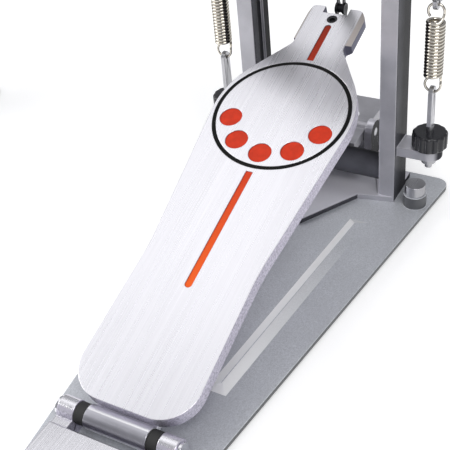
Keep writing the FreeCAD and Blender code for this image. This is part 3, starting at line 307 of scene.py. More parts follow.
@dataclass(frozen=True)
class BrushedPlate(Finish):
    """Aluminium plate, its face brushed along its length; its walls darker, partly from their cut finish and
    partly as painted shade, which deepens towards the toe.
    """

    metal: float = 0.85
    ground: float = 0.93
    spread: Pair = (-0.04, 0.05)
    edge_radius: float = 0.5 * MM
    fine: Noise = Noise(1.0, 2.0, 0.3, 0.7, shade=1.05, stretch=(1500.0, 1 / STREAK, 1 / STREAK))
    broad: Noise = Noise(1.0, 3.0, 0.35, 0.75, 0.90, weight=0.5, stretch=(250.0, 0.5 / STREAK, 1 / STREAK))
    cloud: Noise = Noise(14.0, 2.0, 0.4, 0.8, shade=1.04, weight=0.35)
    pits: Noise = Noise(900.0, 4.0, 0.35, 0.6, weight=0.5)
    pitch: float = 0.0
    # Wall colours: the first is partly a cut finish and partly painted shade; the toe colour is painted
    # shade, which the pits share.
    wall: Colour = (0.70, 0.67, 0.77)
    toe_shade_and_pit_colour: Colour = (0.16, 0.16, 0.22)
    toe_shade_start: Pair = (-0.045, -0.025)
    wall_roughness: float = 0.5
    face_lean: Pair = (0.45, 0.9)
    chamfer_rise: Pair = (0.6, 0.66)
    chamfer_fall: Pair = (0.76, 0.82)
    chamfer: Colour = (0.66, 0.60, 0.57)
    chamfer_metal: float = 0.15

    def write(self, recipe: Recipe) -> None:
        """Streaks the face with two noises, paints shade on the walls that deepens towards the toe, pits the
        walls and leaves chamfers dull.
        """
        turn = (-self.pitch, 0.0, 0.0)
        fine = self.fine.add(recipe, turn)
        tone = self.lay(recipe, self.fine, fine, self.shade(self.ground))
        tone = self.lay(recipe, self.broad, self.broad.add(recipe, turn), tone)
        tone = self.lay(recipe, self.cloud, self.cloud.add(recipe), tone)
        pits = recipe.span(self.pits.add(recipe), self.pits.weight, 0.0, self.pits.start, self.pits.stop)
        # Painted shade: the walls darken towards the toe.
        wall_tone_and_shade = recipe.mix(recipe.along("Y", *self.toe_shade_start), self.wall, self.toe_shade_and_pit_colour)
        wall_tone_and_shade = recipe.mix(pits, wall_tone_and_shade, self.toe_shade_and_pit_colour)
        lean = recipe.facing((0.0, -math.sin(self.pitch), math.cos(self.pitch)))
        face = recipe.span(lean, 0.0, 1.0, *self.face_lean)
        slant = recipe.band(lean, self.chamfer_rise, self.chamfer_fall)
        recipe.drive("Base Color", recipe.mix(slant, recipe.mix(face, wall_tone_and_shade, tone), self.chamfer))
        recipe.drive("Metallic", recipe.span(slant, self.metal, self.chamfer_metal))
        dull = recipe.span(face, self.wall_roughness, self.roughness)
        recipe.drive("Roughness", recipe.work("Math", "ADD", dull, recipe.span(fine, *self.spread)))
        recipe.emboss(fine, self.depth, self.edge_radius)


@dataclass(frozen=True)
class SparklePaint(Finish):
    """Silver-grey metallic paint with a fine glitter and a faint orange peel."""

    metal: float = 0.3
    ground: float = 0.82
    cloud: Noise = Noise(40.0, 4.0, 0.35, 0.7, shade=0.9, weight=0.4)
    grain: Noise = Noise(900.0, 2.0)
    spread: Pair = (-0.1, 0.1)
    depth: float = 0.04 * MM
    edge_radius: float = 0.8 * MM
    edge_reach: float = 1.2 * MM
    edge_shade: float = 1.7
    flakes_per_metre: float = 1900.0
    flake_shade: float = 1.22
    ridge_highlight: float = 2.0
    ridge_rise: Pair = (0.7, 0.85)
    ridge_fall: Pair = (0.95, 0.99)
    left_lean: Pair = (-0.05, 0.05)
    highlight_end: Pair = (-0.20, -0.07)
    wall_painted_shade: float = 0.22
    wall_lean: Pair = (0.2, 0.5)

    def ridge_highlights(self, recipe: Recipe) -> Socket:
        """1 on the sides of each ridge that get a painted highlight, and 0 elsewhere.

        The side that leans left gets it all along, the other one from the heel to where the painted highlight
        ends.
        """
        leaning = recipe.band(recipe.facing(UP), self.ridge_rise, self.ridge_fall)
        heel = recipe.span(recipe.along("Y", *self.highlight_end), 1.0, 0.0)
        leftward = recipe.span(recipe.facing((-1.0, 0.0, 0.0)), 0.0, 1.0, *self.left_lean)
        return recipe.work("Math", "MULTIPLY", leaning, recipe.either(heel, leftward))

    def write(self, recipe: Recipe) -> None:
        """Gives each flake its own grey, the paint a slow ripple, each ridge a painted highlight and walls a
        painted shade.
        """
        flake = recipe.add("TexVoronoi", Vector=recipe.place(), Scale=self.flakes_per_metre).outputs["Color"]
        tone = recipe.mix(recipe.span(flake, 0.0, 1.0), self.shade(self.ground), self.shade(self.flake_shade))
        tone = self.lay(recipe, self.cloud, self.cloud.add(recipe), tone)
        # Painted highlight on the ridge sides.
        tone = self.worn(recipe, recipe.mix(self.ridge_highlights(recipe), tone, self.shade(self.ridge_highlight)))
        # Painted shade on the walls, which face sideways.
        wall = recipe.span(recipe.facing(UP), 1.0, 0.0, *self.wall_lean)
        tone = recipe.mix(wall, tone, self.shade(self.wall_painted_shade))
        self.coat(recipe, tone, flake, self.grain.add(recipe))


@dataclass(frozen=True)
class CastMetal(Finish):
    """Die-cast alloy: a blasted skin with a pitted grain, a cloudy tone and edges rubbed bright."""

    metal: float = 0.55
    ground: float = 0.86
    cloud: Noise = Noise(55.0, 4.0, 0.3, 0.7, shade=1.08)
    grain: Noise = Noise(1400.0, 3.0)
    spread: Pair = (-0.07, 0.08)
    depth: float = 0.06 * MM
    edge_reach: float = 1.0 * MM


@dataclass(frozen=True)
class TwoToneCast(CastMetal):
    """Die-cast alloy, bare to front and rear, with a painted highlight where it faces up, dark enamel with
    painted shade on its flanks and a painted shade on its round bridge.
    """

    flank_enamel_and_shade: Colour = (0.010, 0.010, 0.013)
    flank_rear_enamel_and_reflection: Colour = (0.085, 0.086, 0.10)
    flank_change: Pair = (-0.009, 0.001)
    flank_lean: Pair = (0.6, 0.85)
    patches: Pair = (0.4, 0.8)
    patch_weight: float = 0.5
    bridge_height: float = 25.0 * MM
    bridge_edge: Pair = (9.8 * MM, 10.2 * MM)
    top_highlight: float = 1.7
    top_highlight_lean: Pair = (0.6, 0.9)
    enamel_gloss: float = 0.05

    def tone(self, recipe: Recipe, cloud: Socket) -> Socket:
        """The skin's tone: a painted highlight where it faces up, dark enamel with painted shade where it
        faces along X, and painted shade within the bridge.
        """
        # Painted highlight on faces that look up.
        upward_highlight = recipe.span(recipe.facing(UP), 0.0, 1.0, *self.top_highlight_lean)
        bare = recipe.mix(upward_highlight, super().tone(recipe, cloud), self.shade(self.top_highlight))
        # Flanks: dark enamel with painted shade, a little lighter towards the rear as a painted reflection.
        enamel = recipe.mix(recipe.along("Y", *self.flank_change), self.flank_rear_enamel_and_reflection, self.flank_enamel_and_shade)
        enamel = recipe.mix(recipe.span(cloud, 0.0, self.patch_weight, *self.patches), enamel, self.flank_enamel_and_shade)
        sides = recipe.span(recipe.facing((1.0, 0.0, 0.0), either_way=True), 0.0, 1.0, *self.flank_lean)
        # Painted shade on the round bridge, which sits in the board's shadow.
        across = recipe.add("Mapping", Vector=recipe.place(), Location=(0.0, 0.0, -self.bridge_height),
                            Scale=(0.0, 1.0, 1.0)).outputs["Vector"]
        bridge = recipe.span(recipe.work("VectorMath", "LENGTH", across), 1.0, 0.0, *self.bridge_edge)
        enamel_and_shade_share = recipe.either(sides, bridge)
        recipe.drive("Metallic", recipe.span(enamel_and_shade_share, self.metal, 0.0))
        recipe.drive("Specular IOR Level", recipe.span(enamel_and_shade_share, self.gloss, self.enamel_gloss))
        return recipe.mix(enamel_and_shade_share, bare, enamel)


@dataclass(frozen=True)
class Polished(Finish):
    """Polished or plated metal with faint hairlines round the piece and a little haze."""

    metal: float = 1.0
    ground: float = 0.93
    cloud: Noise = Noise(90.0, 4.0, 0.35, 0.7, shade=1.04)
    grain: Noise = Noise(1.0, 2.0, stretch=(2200.0, 30.0, 30.0))
    spread: Pair = (-0.04, 0.08)
    depth: float = 0.012 * MM
    edge_reach: float = 0.0


@dataclass(frozen=True)
class HighlightBandBarrel(Polished):
    """A satin barrel along X, with painted highlights where it faces forwards and down."""

    bright: Colour = (0.97, 0.97, 0.99)
    forward_lean: Pair = (-0.14, -0.05)
    under_lean: Pair = (-0.02, 0.08)

    def tone(self, recipe: Recipe, cloud: Socket) -> Socket:
        """The hazy tone with its two painted highlight bands."""
        # Painted highlights: bands where the barrel faces forwards and down.
        forward = recipe.span(recipe.facing((0.0, 1.0, 0.0)), 0.0, 1.0, *self.forward_lean)
        under = recipe.span(recipe.facing((0.0, 0.0, -1.0)), 0.0, 1.0, *self.under_lean)
        return recipe.mix(recipe.either(forward, under), super().tone(recipe, cloud), self.bright)


@dataclass(frozen=True)
class TurnedSteel(Finish):
    """Turned or ground steel with tool marks along X, rubbed edges and a trace of oil haze."""

    metal: float = 1.0
    cloud: Noise = Noise(70.0, 4.0, 0.3, 0.7, shade=1.08)
    grain: Noise = Noise(1.0, 2.0, stretch=(1800.0, 60.0, 60.0))
    grain_roughens: bool = True
    spread: Pair = (-0.06, 0.1)
    depth: float = 0.02 * MM


@dataclass(frozen=True)
class BlackOxide(Finish):
    """Blackened steel with an oily haze, worn to grey along its edges."""

    metal: float = 0.7
    ground: float = 0.7
    cloud: Noise = Noise(260.0, 4.0, 0.35, 0.7, shade=1.5)
    spread: Pair = (-0.08, 0.12)
    depth: float = 0.03 * MM
    edge_reach: float = 0.35 * MM
    edge_shade: float = 2.5


@dataclass(frozen=True)
class Moulded(Finish):
    """Moulded plastic or rubber with a fine spark-eroded grain, dusty patches and scuffed edges."""

    cloud: Noise = Noise(60.0, 5.0, 0.4, 0.75, shade=1.5)
    grain: Noise = Noise(1600.0, 2.0)
    grain_roughens: bool = True
    edge_shade: float = 2.6


@dataclass(frozen=True)
class Enamel(Finish):
    """Mottled enamel poured into a pocket, with a painted shadow along its edge where it meets the wall."""

    gloss: float = 0.2
    ground: float = 0.88
    cloud: Noise = Noise(220.0, 3.0, 0.3, 0.7, shade=1.1)
    spread: Pair = (-0.05, 0.1)
    depth: float = 0.04 * MM
    edge_reach: float = 0.8 * MM
    # Painted shadow of the pocket's wall along the enamel's edge.
    rim_shadow_colour: Colour = (0.25, 0.02, 0.01)
    heel_end: Colour = (0.86, 0.115, 0.012)
    toe_end: Colour = (0.34, 0.026, 0.008)
    heel_change: Pair = (-0.19, -0.10)
    toe_change: Pair = (-0.045, -0.015)

    def tone(self, recipe: Recipe, cloud: Socket) -> Socket:
        """The mottled tone with a slow change along the pedal."""
        tone = recipe.mix(recipe.along("Y", *self.heel_change), self.heel_end, super().tone(recipe, cloud))
        return recipe.mix(recipe.along("Y", *self.toe_change), tone, self.toe_end)


@dataclass(frozen=True)
class Felt(Finish):
    """Pressed wool felt: matted fibres, a soft sheen and a few darker wisps."""

    gloss: float = 0.15
    ground: float = 0.72
    cloud: Noise = Noise(60.0, 4.0, 0.4, 0.8, shade=0.84, weight=0.6)
    across: Noise = Noise(1.0, 5.0, 0.7, 1.3, shade=1.06, stretch=(700.0, 160.0, 160.0))
    along: Noise = Noise(1.0, 5.0, stretch=(160.0, 700.0, 200.0))
    across_turn: Point = (0.3, 0.4, 0.6)
    along_turn: Point = (0.7, 0.2, 0.9)
    depth: float = 0.6 * MM
    sheen: float = 0.4

    def write(self, recipe: Recipe) -> None:
        """Adds up two stretched noises for the fibres and lays a cloud over them for the pressing."""
        fibres = recipe.work("Math", "ADD", self.across.add(recipe, self.across_turn),
                             self.along.add(recipe, self.along_turn))
        tone = self.lay(recipe, self.across, fibres, self.shade(self.ground))
        recipe.drive("Base Color", self.lay(recipe, self.cloud, self.cloud.add(recipe), tone))
        recipe.emboss(fibres, self.depth)
        recipe.fix(roughness=self.roughness, sheen_weight=self.sheen)


BOARD_PITCH = math.radians(18.555)
FRONT_EDGE = 28.0 * MM
REAR_HALF = 42.0 * MM
TONGUE_HALF = 24.0 * MM
SPUR_OFFSET = 71.0 * MM
SPUR_BACK = 8.0 * MM
SPUR_WELL = 8.0 * MM
BOARD = BrushedPlate("brushed_footboard", (0.84, 0.83, 0.87), 0.28, pitch=BOARD_PITCH)
HEEL = BrushedPlate("brushed_heel_plate", (0.80, 0.79, 0.83), 0.22, chamfer=BOARD.wall, chamfer_metal=0.75)
BASE = SparklePaint("silver_base_paint", (0.55, 0.565, 0.60), 0.42)
CAST = CastMetal("cast_alloy", (0.46, 0.455, 0.49), 0.36)
FRAME = TwoToneCast("two_tone_frame", (0.46, 0.455, 0.49), 0.34)
CHROME = Polished("polished_plate", (0.80, 0.80, 0.83), 0.12)
SATIN = HighlightBandBarrel("satin_barrel", (0.46, 0.455, 0.50), 0.30)
STEEL = TurnedSteel("turned_steel", (0.50, 0.50, 0.52), 0.28)
BLACK_STEEL = BlackOxide("black_steel", (0.012, 0.012, 0.013), 0.36)
BLACK_PLASTIC = Moulded("black_plastic", (0.005, 0.005, 0.005), 0.5, gloss=0.25)
RING = Moulded("ring_enamel", (0.004, 0.004, 0.004), 0.6, gloss=0.15)
KNOB = Moulded("black_knob", (0.010, 0.010, 0.011), 0.36)
RUBBER = Moulded("grip_rubber", (0.018, 0.018, 0.019), 0.72, depth=0.12 * MM, grain=Noise(1100.0, 2.0))
ORANGE = Enamel("orange_enamel", (0.60, 0.036, 0.010), 0.45)
SPRING = TurnedSteel("spring_wire", (0.52, 0.45, 0.34), 0.40)
FELT = Felt("beater_felt", (0.62, 0.60, 0.56), 0.95)


def tidy_group() -> bpy.types.NodeTree:
    """A node group that joins a CAD node's loose triangles and drops the normals they came with."""
    tree = bpy.data.node_groups.get("join_triangles")
    if tree:
        return tree
    tree = bpy.data.node_groups.new("join_triangles", "GeometryNodeTree")
    for way in ("INPUT", "OUTPUT"):
        tree.interface.new_socket("Geometry", in_out=way, socket_type="NodeSocketGeometry")
    start, end = tree.nodes.new("NodeGroupInput"), tree.nodes.new("NodeGroupOutput")
    drop = tree.nodes.new("GeometryNodeRemoveAttribute")
    merge = tree.nodes.new("GeometryNodeMergeByDistance")
    drop.inputs["Name"].default_value = "custom_normal"
    merge.inputs["Distance"].default_value = MERGE_GAP
    for source, target in ((start, drop), (drop, merge), (merge, end)):
        tree.links.new(source.outputs[0], target.inputs[0])
    return tree


def soften(node: bpy.types.Object, width: float) -> None:
    """Rounds a CAD node's sharp edges with live modifiers, which leave its own mesh as it is.

    Args:
        node: The node's object, whose triangles are loose.
        width: The width of the rounding in metres.
    """
    join = node.modifiers.new("join", "NODES")
    join.node_group = tidy_group()
    edge = node.modifiers.new("edge", "BEVEL")
    edge.width = width
    edge.segments = EDGE_SEGMENTS
    edge.limit_method = "ANGLE"
    edge.angle_limit = SHARP_ANGLE
    edge.use_clamp_overlap = False
    edge.harden_normals = True
    even = node.modifiers.new("even", "WEIGHTED_NORMAL")
    even.keep_sharp = True


def dress(finish: Finish, edge: float, *node_names: str) -> None:
    """Gives CAD nodes their finish and the rounding of their sharp edges.

    Args:
        finish: The finish that their surfaces get.
        edge: The width of the edges' rounding in metres.
        node_names: The nodes' names in the frame.
    """
    for node_name in node_names:
        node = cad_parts[node_name]
        node.data.materials.clear()
        node.data.materials.append(finish.material())
        soften(node, edge)
        log.info("dressed %s in %s", node_name, finish.name)


def show(name: str, data: bpy.types.ID) -> bpy.types.Object:
    """Makes an object of a mesh, a light or a camera and puts it in the scene."""
    thing = bpy.data.objects.new(name, data)
    bpy.context.scene.collection.objects.link(thing)
    return thing


def circle(count: int) -> np.ndarray:
    """Even angles round a whole turn."""
    return np.linspace(0, TURN, count, endpoint=False)


def skin(name: str, grid: np.ndarray, finish: Finish, sharp: float = 40.0) -> bpy.types.Object:
    """Makes a closed mesh from a grid of points.

    The columns run round the piece and close on themselves, and each end row is closed by a
    fan to the middle of that row. The faces are turned outwards by the sign of the volume.

    Args:
        name: The piece's name.
        grid: Points in metres, as rows by columns by three.
        finish: The finish that the surface gets.
        sharp: The angle in degrees past which an edge stays sharp.

    Returns:
        The new object, at the origin.
    """
    rows, columns, _ = grid.shape
    points = np.vstack([grid.reshape(-1, 3), grid[0].mean(0), grid[-1].mean(0)])
    start = (np.arange(rows - 1) * columns)[:, None]
    here, after = np.arange(columns), (np.arange(columns) + 1) % columns
    quads = np.stack([start + here, start + after, start + columns + after, start + columns + here], -1)
    quads = quads.reshape(-1, 4)
    first, last = np.full(columns, rows * columns), np.full(columns, rows * columns + 1)
    end = (rows - 1) * columns
    fans = np.vstack([np.stack([first, after, here], -1), np.stack([last, end + here, end + after], -1)])
    corners = points[np.vstack([quads[:, :3], quads[:, [0, 2, 3]], fans])]
    volume = np.einsum("ij,ij->i", corners[:, 0], np.cross(corners[:, 1], corners[:, 2])).sum()
    if volume < 0:
        quads, fans = quads[:, ::-1], fans[:, ::-1]
    mesh = bpy.data.meshes.new(name)
    mesh.from_pydata(points.tolist(), [], quads.tolist() + fans.tolist())
    mesh.materials.append(finish.material())
    mesh.shade_smooth()
    mesh.set_sharp_from_angle(angle=math.radians(sharp))
    return show(name, mesh)


def tube(path: np.ndarray, radius: np.ndarray, sides: int = 12) -> np.ndarray:
    """Carries a circle along a path.

    Each ring lies across the path's own direction. Its first arm points away from the middle of
    the whole path, less what of that lies along the path.

    Args:
        path: Points along the middle of the tube, as rows of three.
        radius: The tube's radius at each point.
        sides: Points round each ring.

    Returns:
        The grid of points, one row for each point of the path.
    """
    way = np.gradient(path, axis=0)
    way /= np.linalg.norm(way, axis=1, keepdims=True)
    outward = path - path.mean(0)
    outward -= way * np.einsum("ij,ij->i", outward, way)[:, None]
    outward /= np.linalg.norm(outward, axis=1, keepdims=True)
    across = np.cross(way, outward)
    angle = circle(sides)[None, :, None]
    arm = np.cos(angle) * outward[:, None] + np.sin(angle) * across[:, None]
    return path[:, None] + radius[:, None, None] * arm


def lathe(profile: np.ndarray, columns: int = 64) -> np.ndarray:
    """Turns a profile of radius and height round Z.

    Args:
        profile: Rows of radius and height.
        columns: Points round the piece.

    Returns:
        The grid of points.
    """
    angle = circle(columns)
    radius, height = profile[:, :1], np.repeat(profile[:, 1:], columns, axis=1)
    return np.stack([radius * np.cos(angle), radius * np.sin(angle), height], -1)


def settle(piece: bpy.types.Object, body: str, slot: str, *nodes: str) -> None:
    """Ties a finished piece to its body and hides the CAD nodes that it stands for.

    Args:
        piece: The finished piece.
        body: The body that it moves with.
        slot: Not used.
        nodes: The CAD nodes that it replaces.
    """
    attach(piece, body)
    if nodes:
        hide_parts(*nodes)
    log.info("built %s on %s", piece.name, body)


@dataclass
class PedalDress:
    """The plates, hinge, frame and chain of one pedal, which keep their CAD shapes, and its grip mat."""

    pedal: Pedal
    plate_edge: float = 0.5 * MM
    small_edge: float = 0.25 * MM
    link_edge: float = 0.15 * MM
    hair_edge: float = 0.1 * MM
    mat_rib_pitch: float = 6.0 * MM
    mat_rib_depth: float = 0.6 * MM
    mat_corner: float = 6.0 * MM
    mat_rows: int = 361
    mat_columns: int = 15

    def mat_half_width(self, y: np.ndarray) -> np.ndarray:
        """Half the mat's width at each place along it.

        It widens evenly from the rear to the front edge of the wings, leaves a round bite for each
        floor spur, narrows to the clamp's tongue on the main pedal and rounds off at both ends.

        Args:
            y: Places along Y in metres.

        Returns:
            Half widths in metres.
        """
        low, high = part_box(f"{self.pedal.value}_grip_mat")
        plate_low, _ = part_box(f"{self.pedal.value}_base_plate")
        middle = (low.x + high.x) / 2
        inset = low.y - plate_low.y
        front = FRONT_EDGE - inset
        rear_half = REAR_HALF - inset
        half = rear_half + (high.x - middle - rear_half) * (y - low.y) / (front - low.y)
        bite = np.sqrt(np.clip(SPUR_WELL**2 - (y + SPUR_BACK) ** 2, 0, None))
        half = np.where(np.abs(y + SPUR_BACK) < SPUR_WELL, np.minimum(half, SPUR_OFFSET - bite), half)
        half = np.where(y > front, TONGUE_HALF - inset, half)
        ends = np.minimum(y - low.y, high.y - y)
        inward = np.clip(self.mat_corner - ends, 0, self.mat_corner)
        return half - (self.mat_corner - np.sqrt(self.mat_corner**2 - inward**2))

    def mat(self) -> None:
        """The ribbed rubber sheet under the base plate.

        Rows run along the pedal. Each row goes across the top and back across the underside, whose
        height follows a cosine along the pedal, so that ribs lie across it.
        """
        name = f"{self.pedal.value}_grip_mat"
        low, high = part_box(name)
        y = np.linspace(low.y, high.y, self.mat_rows)
        across = np.linspace(-1, 1, self.mat_columns)
        around = np.concatenate([across, across[::-1]])
        under = np.repeat([0.0, 1.0], self.mat_columns)
        x = (low.x + high.x) / 2 + self.mat_half_width(y)[:, None] * around
        rib = self.mat_rib_depth * (0.5 - 0.5 * np.cos(TURN * (y - low.y) / self.mat_rib_pitch))
        floor = low.z + rib[:, None]
        z = np.where(under > 0, floor, high.z)
        grid = np.stack([x, np.repeat(y[:, None], len(around), axis=1), z], -1)
        piece = skin(f"{name}_ribbed", grid, RUBBER)
        settle(piece, f"{self.pedal.value}_unit", "rubber_mat", name)

    def build(self) -> None:
        """Dresses the pedal's nodes, named by the rest of their names, and makes its mat."""
        for finish, edge, *rests in (
                (BASE, self.hair_edge, "base_plate"),
                (BOARD, self.hair_edge, "footboard"),
                (HEEL, self.plate_edge, "heel_plate"),
                (SATIN, self.plate_edge, "hinge_barrel"),
                (FRAME, self.plate_edge, "frame"),
                (CHROME, self.small_edge, "hinge_pin"),
                (STEEL, self.small_edge, "fasteners", "sprocket", "bearings"),
                (BLACK_PLASTIC, self.small_edge, "hinge_bushes"),
                (RING, self.link_edge, "ring_inlay"),
                (ORANGE, self.link_edge, "orange_inlays"),
                (BLACK_STEEL, self.link_edge, "chain_anchor", "chain_drop", "chain_wrap")):
            dress(finish, edge, *(f"{self.pedal.value}_{rest}" for rest in rests))
        self.mat()


@dataclass
class ReturnSpring:
    """A close-wound return spring with an open loop at each end."""

    side: Side
    turns: int = 17
    wire: float = 1.1 * MM
    loop_wire: float = 0.85 * MM
    coil: float = 5.2 * MM
    loop: float = 5.2 * MM
    loop_rise: float = 0.6 * MM
    cad_wire: float = 1.0 * MM
    lead: float = math.radians(70)
    loop_open: float = math.radians(225)
    steps: int = 28

    def bend(self, start: np.ndarray, way_in: np.ndarray, end: np.ndarray, way_out: np.ndarray) -> np.ndarray:
        """A smooth run of wire between two points: a cubic with the given directions at its ends."""
        t = np.linspace(0, 1, self.steps, endpoint=False)[1:, None]
        reach = np.linalg.norm(end - start)
        return ((1 + 2 * t) * (1 - t) ** 2 * start + t * (1 - t) ** 2 * reach * way_in
                + t**2 * (3 - 2 * t) * end + t**2 * (t - 1) * reach * way_out)

    def path(self, low: float, high: float) -> np.ndarray:
        """The middle of the wire: lower loop, bend, helix, bend and upper loop.

        Args:
            low: Height of the lower loop's crown.
            high: Height of the upper loop's crown.

        Returns:
            Points round the spring's own axis, in metres.
        """
        sweep = np.linspace(-self.loop_open + math.pi / 2, math.pi / 2, 3 * self.steps)
        arms = np.stack([np.sin(sweep), np.zeros_like(sweep), -np.cos(sweep)], -1)
        lower = np.array([0, 0, low + self.loop]) + self.loop * arms
        upper = (np.array([0, 0, high - self.loop]) + self.loop * arms * (1, 1, -1))[::-1]
        start = low + 2 * self.loop + self.loop_rise
        stop = high - 2 * self.loop - self.loop_rise
        angle = np.linspace(self.lead, TURN * self.turns - self.lead, self.turns * self.steps)
        climb = start + (stop - start) * angle / (TURN * self.turns)
        helix = np.stack([self.coil * np.cos(angle), self.coil * np.sin(angle), climb], -1)
        upwards = np.array(UP)
        turning = [np.array([-math.sin(a), math.cos(a), 0.0]) for a in (angle[0], angle[-1])]
        rise = self.bend(lower[-1], upwards, helix[0], turning[0])
        leave = self.bend(helix[-1], turning[1], upper[0], upwards)
        return np.vstack([lower, rise, helix, leave, upper])

    def build(self) -> None:
        """Winds the spring between its hook and its stirrup."""
        name = f"{self.side.word}_spring"
        low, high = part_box(name)
        middle = np.array([(low.x + high.x) / 2, (low.y + high.y) / 2, 0])
        path = self.path(low.z + self.cad_wire, high.z - self.cad_wire) + middle
        loops = 2 * self.loop + self.loop_rise + self.cad_wire
        taper = 2 * self.wire
        heights = [low.z + loops - taper, low.z + loops, high.z - loops, high.z - loops + taper]
        radius = np.interp(path[:, 2], heights, [self.loop_wire, self.wire, self.wire, self.loop_wire])
        piece = skin(f"{name}_wound", tube(path, radius), SPRING, sharp=60.0)
        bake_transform(piece)
        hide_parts(name)
        log.info("built %s between %s and its stirrup", piece.name, name)


@dataclass
class Adjusters:
    """The fluted hand knobs on the springs' adjusting rods."""

    radius: float = 12.0 * MM
    flute_depth: float = 0.9 * MM
    flutes: int = 14
    flute_start: float = 0.75
    rounding: float = 2.2 * MM
    face_rings: Pair = (0.35, 0.7)
    rim_steps: int = 7
    columns: int = 168

    def knob(self, side: Side) -> None:
        """One knob: a disc with rounded rims, whose radius dips along a wave of flutes round it.

        The flutes fade out over the rounded rims and the flat faces.

        Args:
            side: The spring that it adjusts.
        """
        low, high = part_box("spring_knobs")
        quarter = np.linspace(0, math.pi / 2, self.rim_steps)
        inset = self.rounding * (1 - np.sin(quarter))
        drop = self.rounding * (1 - np.cos(quarter))
        face = np.array(self.face_rings) * self.radius
        radius = np.concatenate([face, self.radius - inset, (self.radius - inset)[::-1], face[::-1]])
        floor, roof = np.full_like(face, low.z), np.full_like(face, high.z)
        height = np.concatenate([floor, low.z + drop, high.z - drop[::-1], roof])
        grid = lathe(np.stack([radius, height], -1), self.columns)
        dip = self.flute_depth * (0.5 - 0.5 * np.cos(self.flutes * circle(self.columns))) ** 2
        share = np.clip((radius / self.radius - self.flute_start) / (1 - self.flute_start), 0, 1) ** 2
        grid[..., :2] *= 1 - (share[:, None] * dip / self.radius)[..., None]
        reach = high.x - self.radius
        grid[..., 0] += side.value * reach
        piece = skin(f"{side.word}_spring_knob_fluted", grid, KNOB, sharp=50.0)
        settle(piece, "main_unit", "black_knob", "spring_knobs")

    def build(self) -> None:
        """Makes both knobs."""
        for side in Side:
            self.knob(side)


@dataclass
class Beater:
    """A beater: the felt head on its rod, square to the rod and leaning with it."""

    side: Side
    offset: float = 27.0 * MM
    tilt: float = math.radians(38)
    centre: float = 221.0 * MM
    radius: float = 25.0 * MM
    length: float = 46.0 * MM
    rounding: float = 7.0 * MM
    crown: float = 1.4 * MM
    nap: float = 0.12 * MM
    nap_waves: tuple[Pair, ...] = ((1.7, 2.3), (3.1, -1.9), (0.0, 5.3))
    pole: float = 0.02
    face_steps: int = 14
    side_steps: int = 24
    columns: int = 144

    def profile(self) -> np.ndarray:
        """Radius and height of the head from face to face: crowned faces, round rims and a barrel side."""
        half = self.length / 2
        flat = self.radius - self.rounding
        face = np.linspace(self.pole, 1, self.face_steps) * flat
        dome = half - self.crown * (face / flat) ** 2
        turn = np.linspace(0, math.pi / 2, self.face_steps)[1:]
        rim = flat + self.rounding * np.sin(turn)
        shoulder = half - self.crown - self.rounding * (1 - np.cos(turn))
        side = np.linspace(shoulder[-1], -shoulder[-1], self.side_steps)[1:-1]
        upper = np.stack([np.concatenate([face, rim]), np.concatenate([dome, shoulder])], -1)
        lower = upper[::-1] * (1, -1)
        return np.vstack([upper, np.stack([np.full_like(side, self.radius), side], -1), lower])

    def build(self) -> None:
        """Turns the head's profile round its axis, roughens it with a fine nap and leans it with the rod."""
        grid = lathe(self.profile(), self.columns)
        rows = np.arange(len(grid))[:, None]
        columns = np.arange(self.columns)[None, :]
        rough = sum(np.sin(down * rows + round_it * columns) for down, round_it in self.nap_waves)
        most = len(self.nap_waves)
        grid *= 1 - (self.nap / self.radius * (rough + most) / (2 * most))[..., None]
        low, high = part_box("main_axle")
        lean = Matrix.Translation((self.side.value * self.offset, 0.0, (low.z + high.z) / 2))
        lean = lean @ Matrix.Rotation(self.tilt, 4, "X") @ Matrix.Translation((0.0, 0.0, self.centre))
        lean = np.array(lean @ Matrix.Rotation(math.pi / 2, 4, "X"))
        grid = grid @ lean[:3, :3].T + lean[:3, 3]
        name = f"{self.side.word}_beater_head"
        piece = skin(f"{name}_felt", grid, FELT, sharp=60.0)
        settle(piece, f"{self.side.word}_beater", "felt", name)


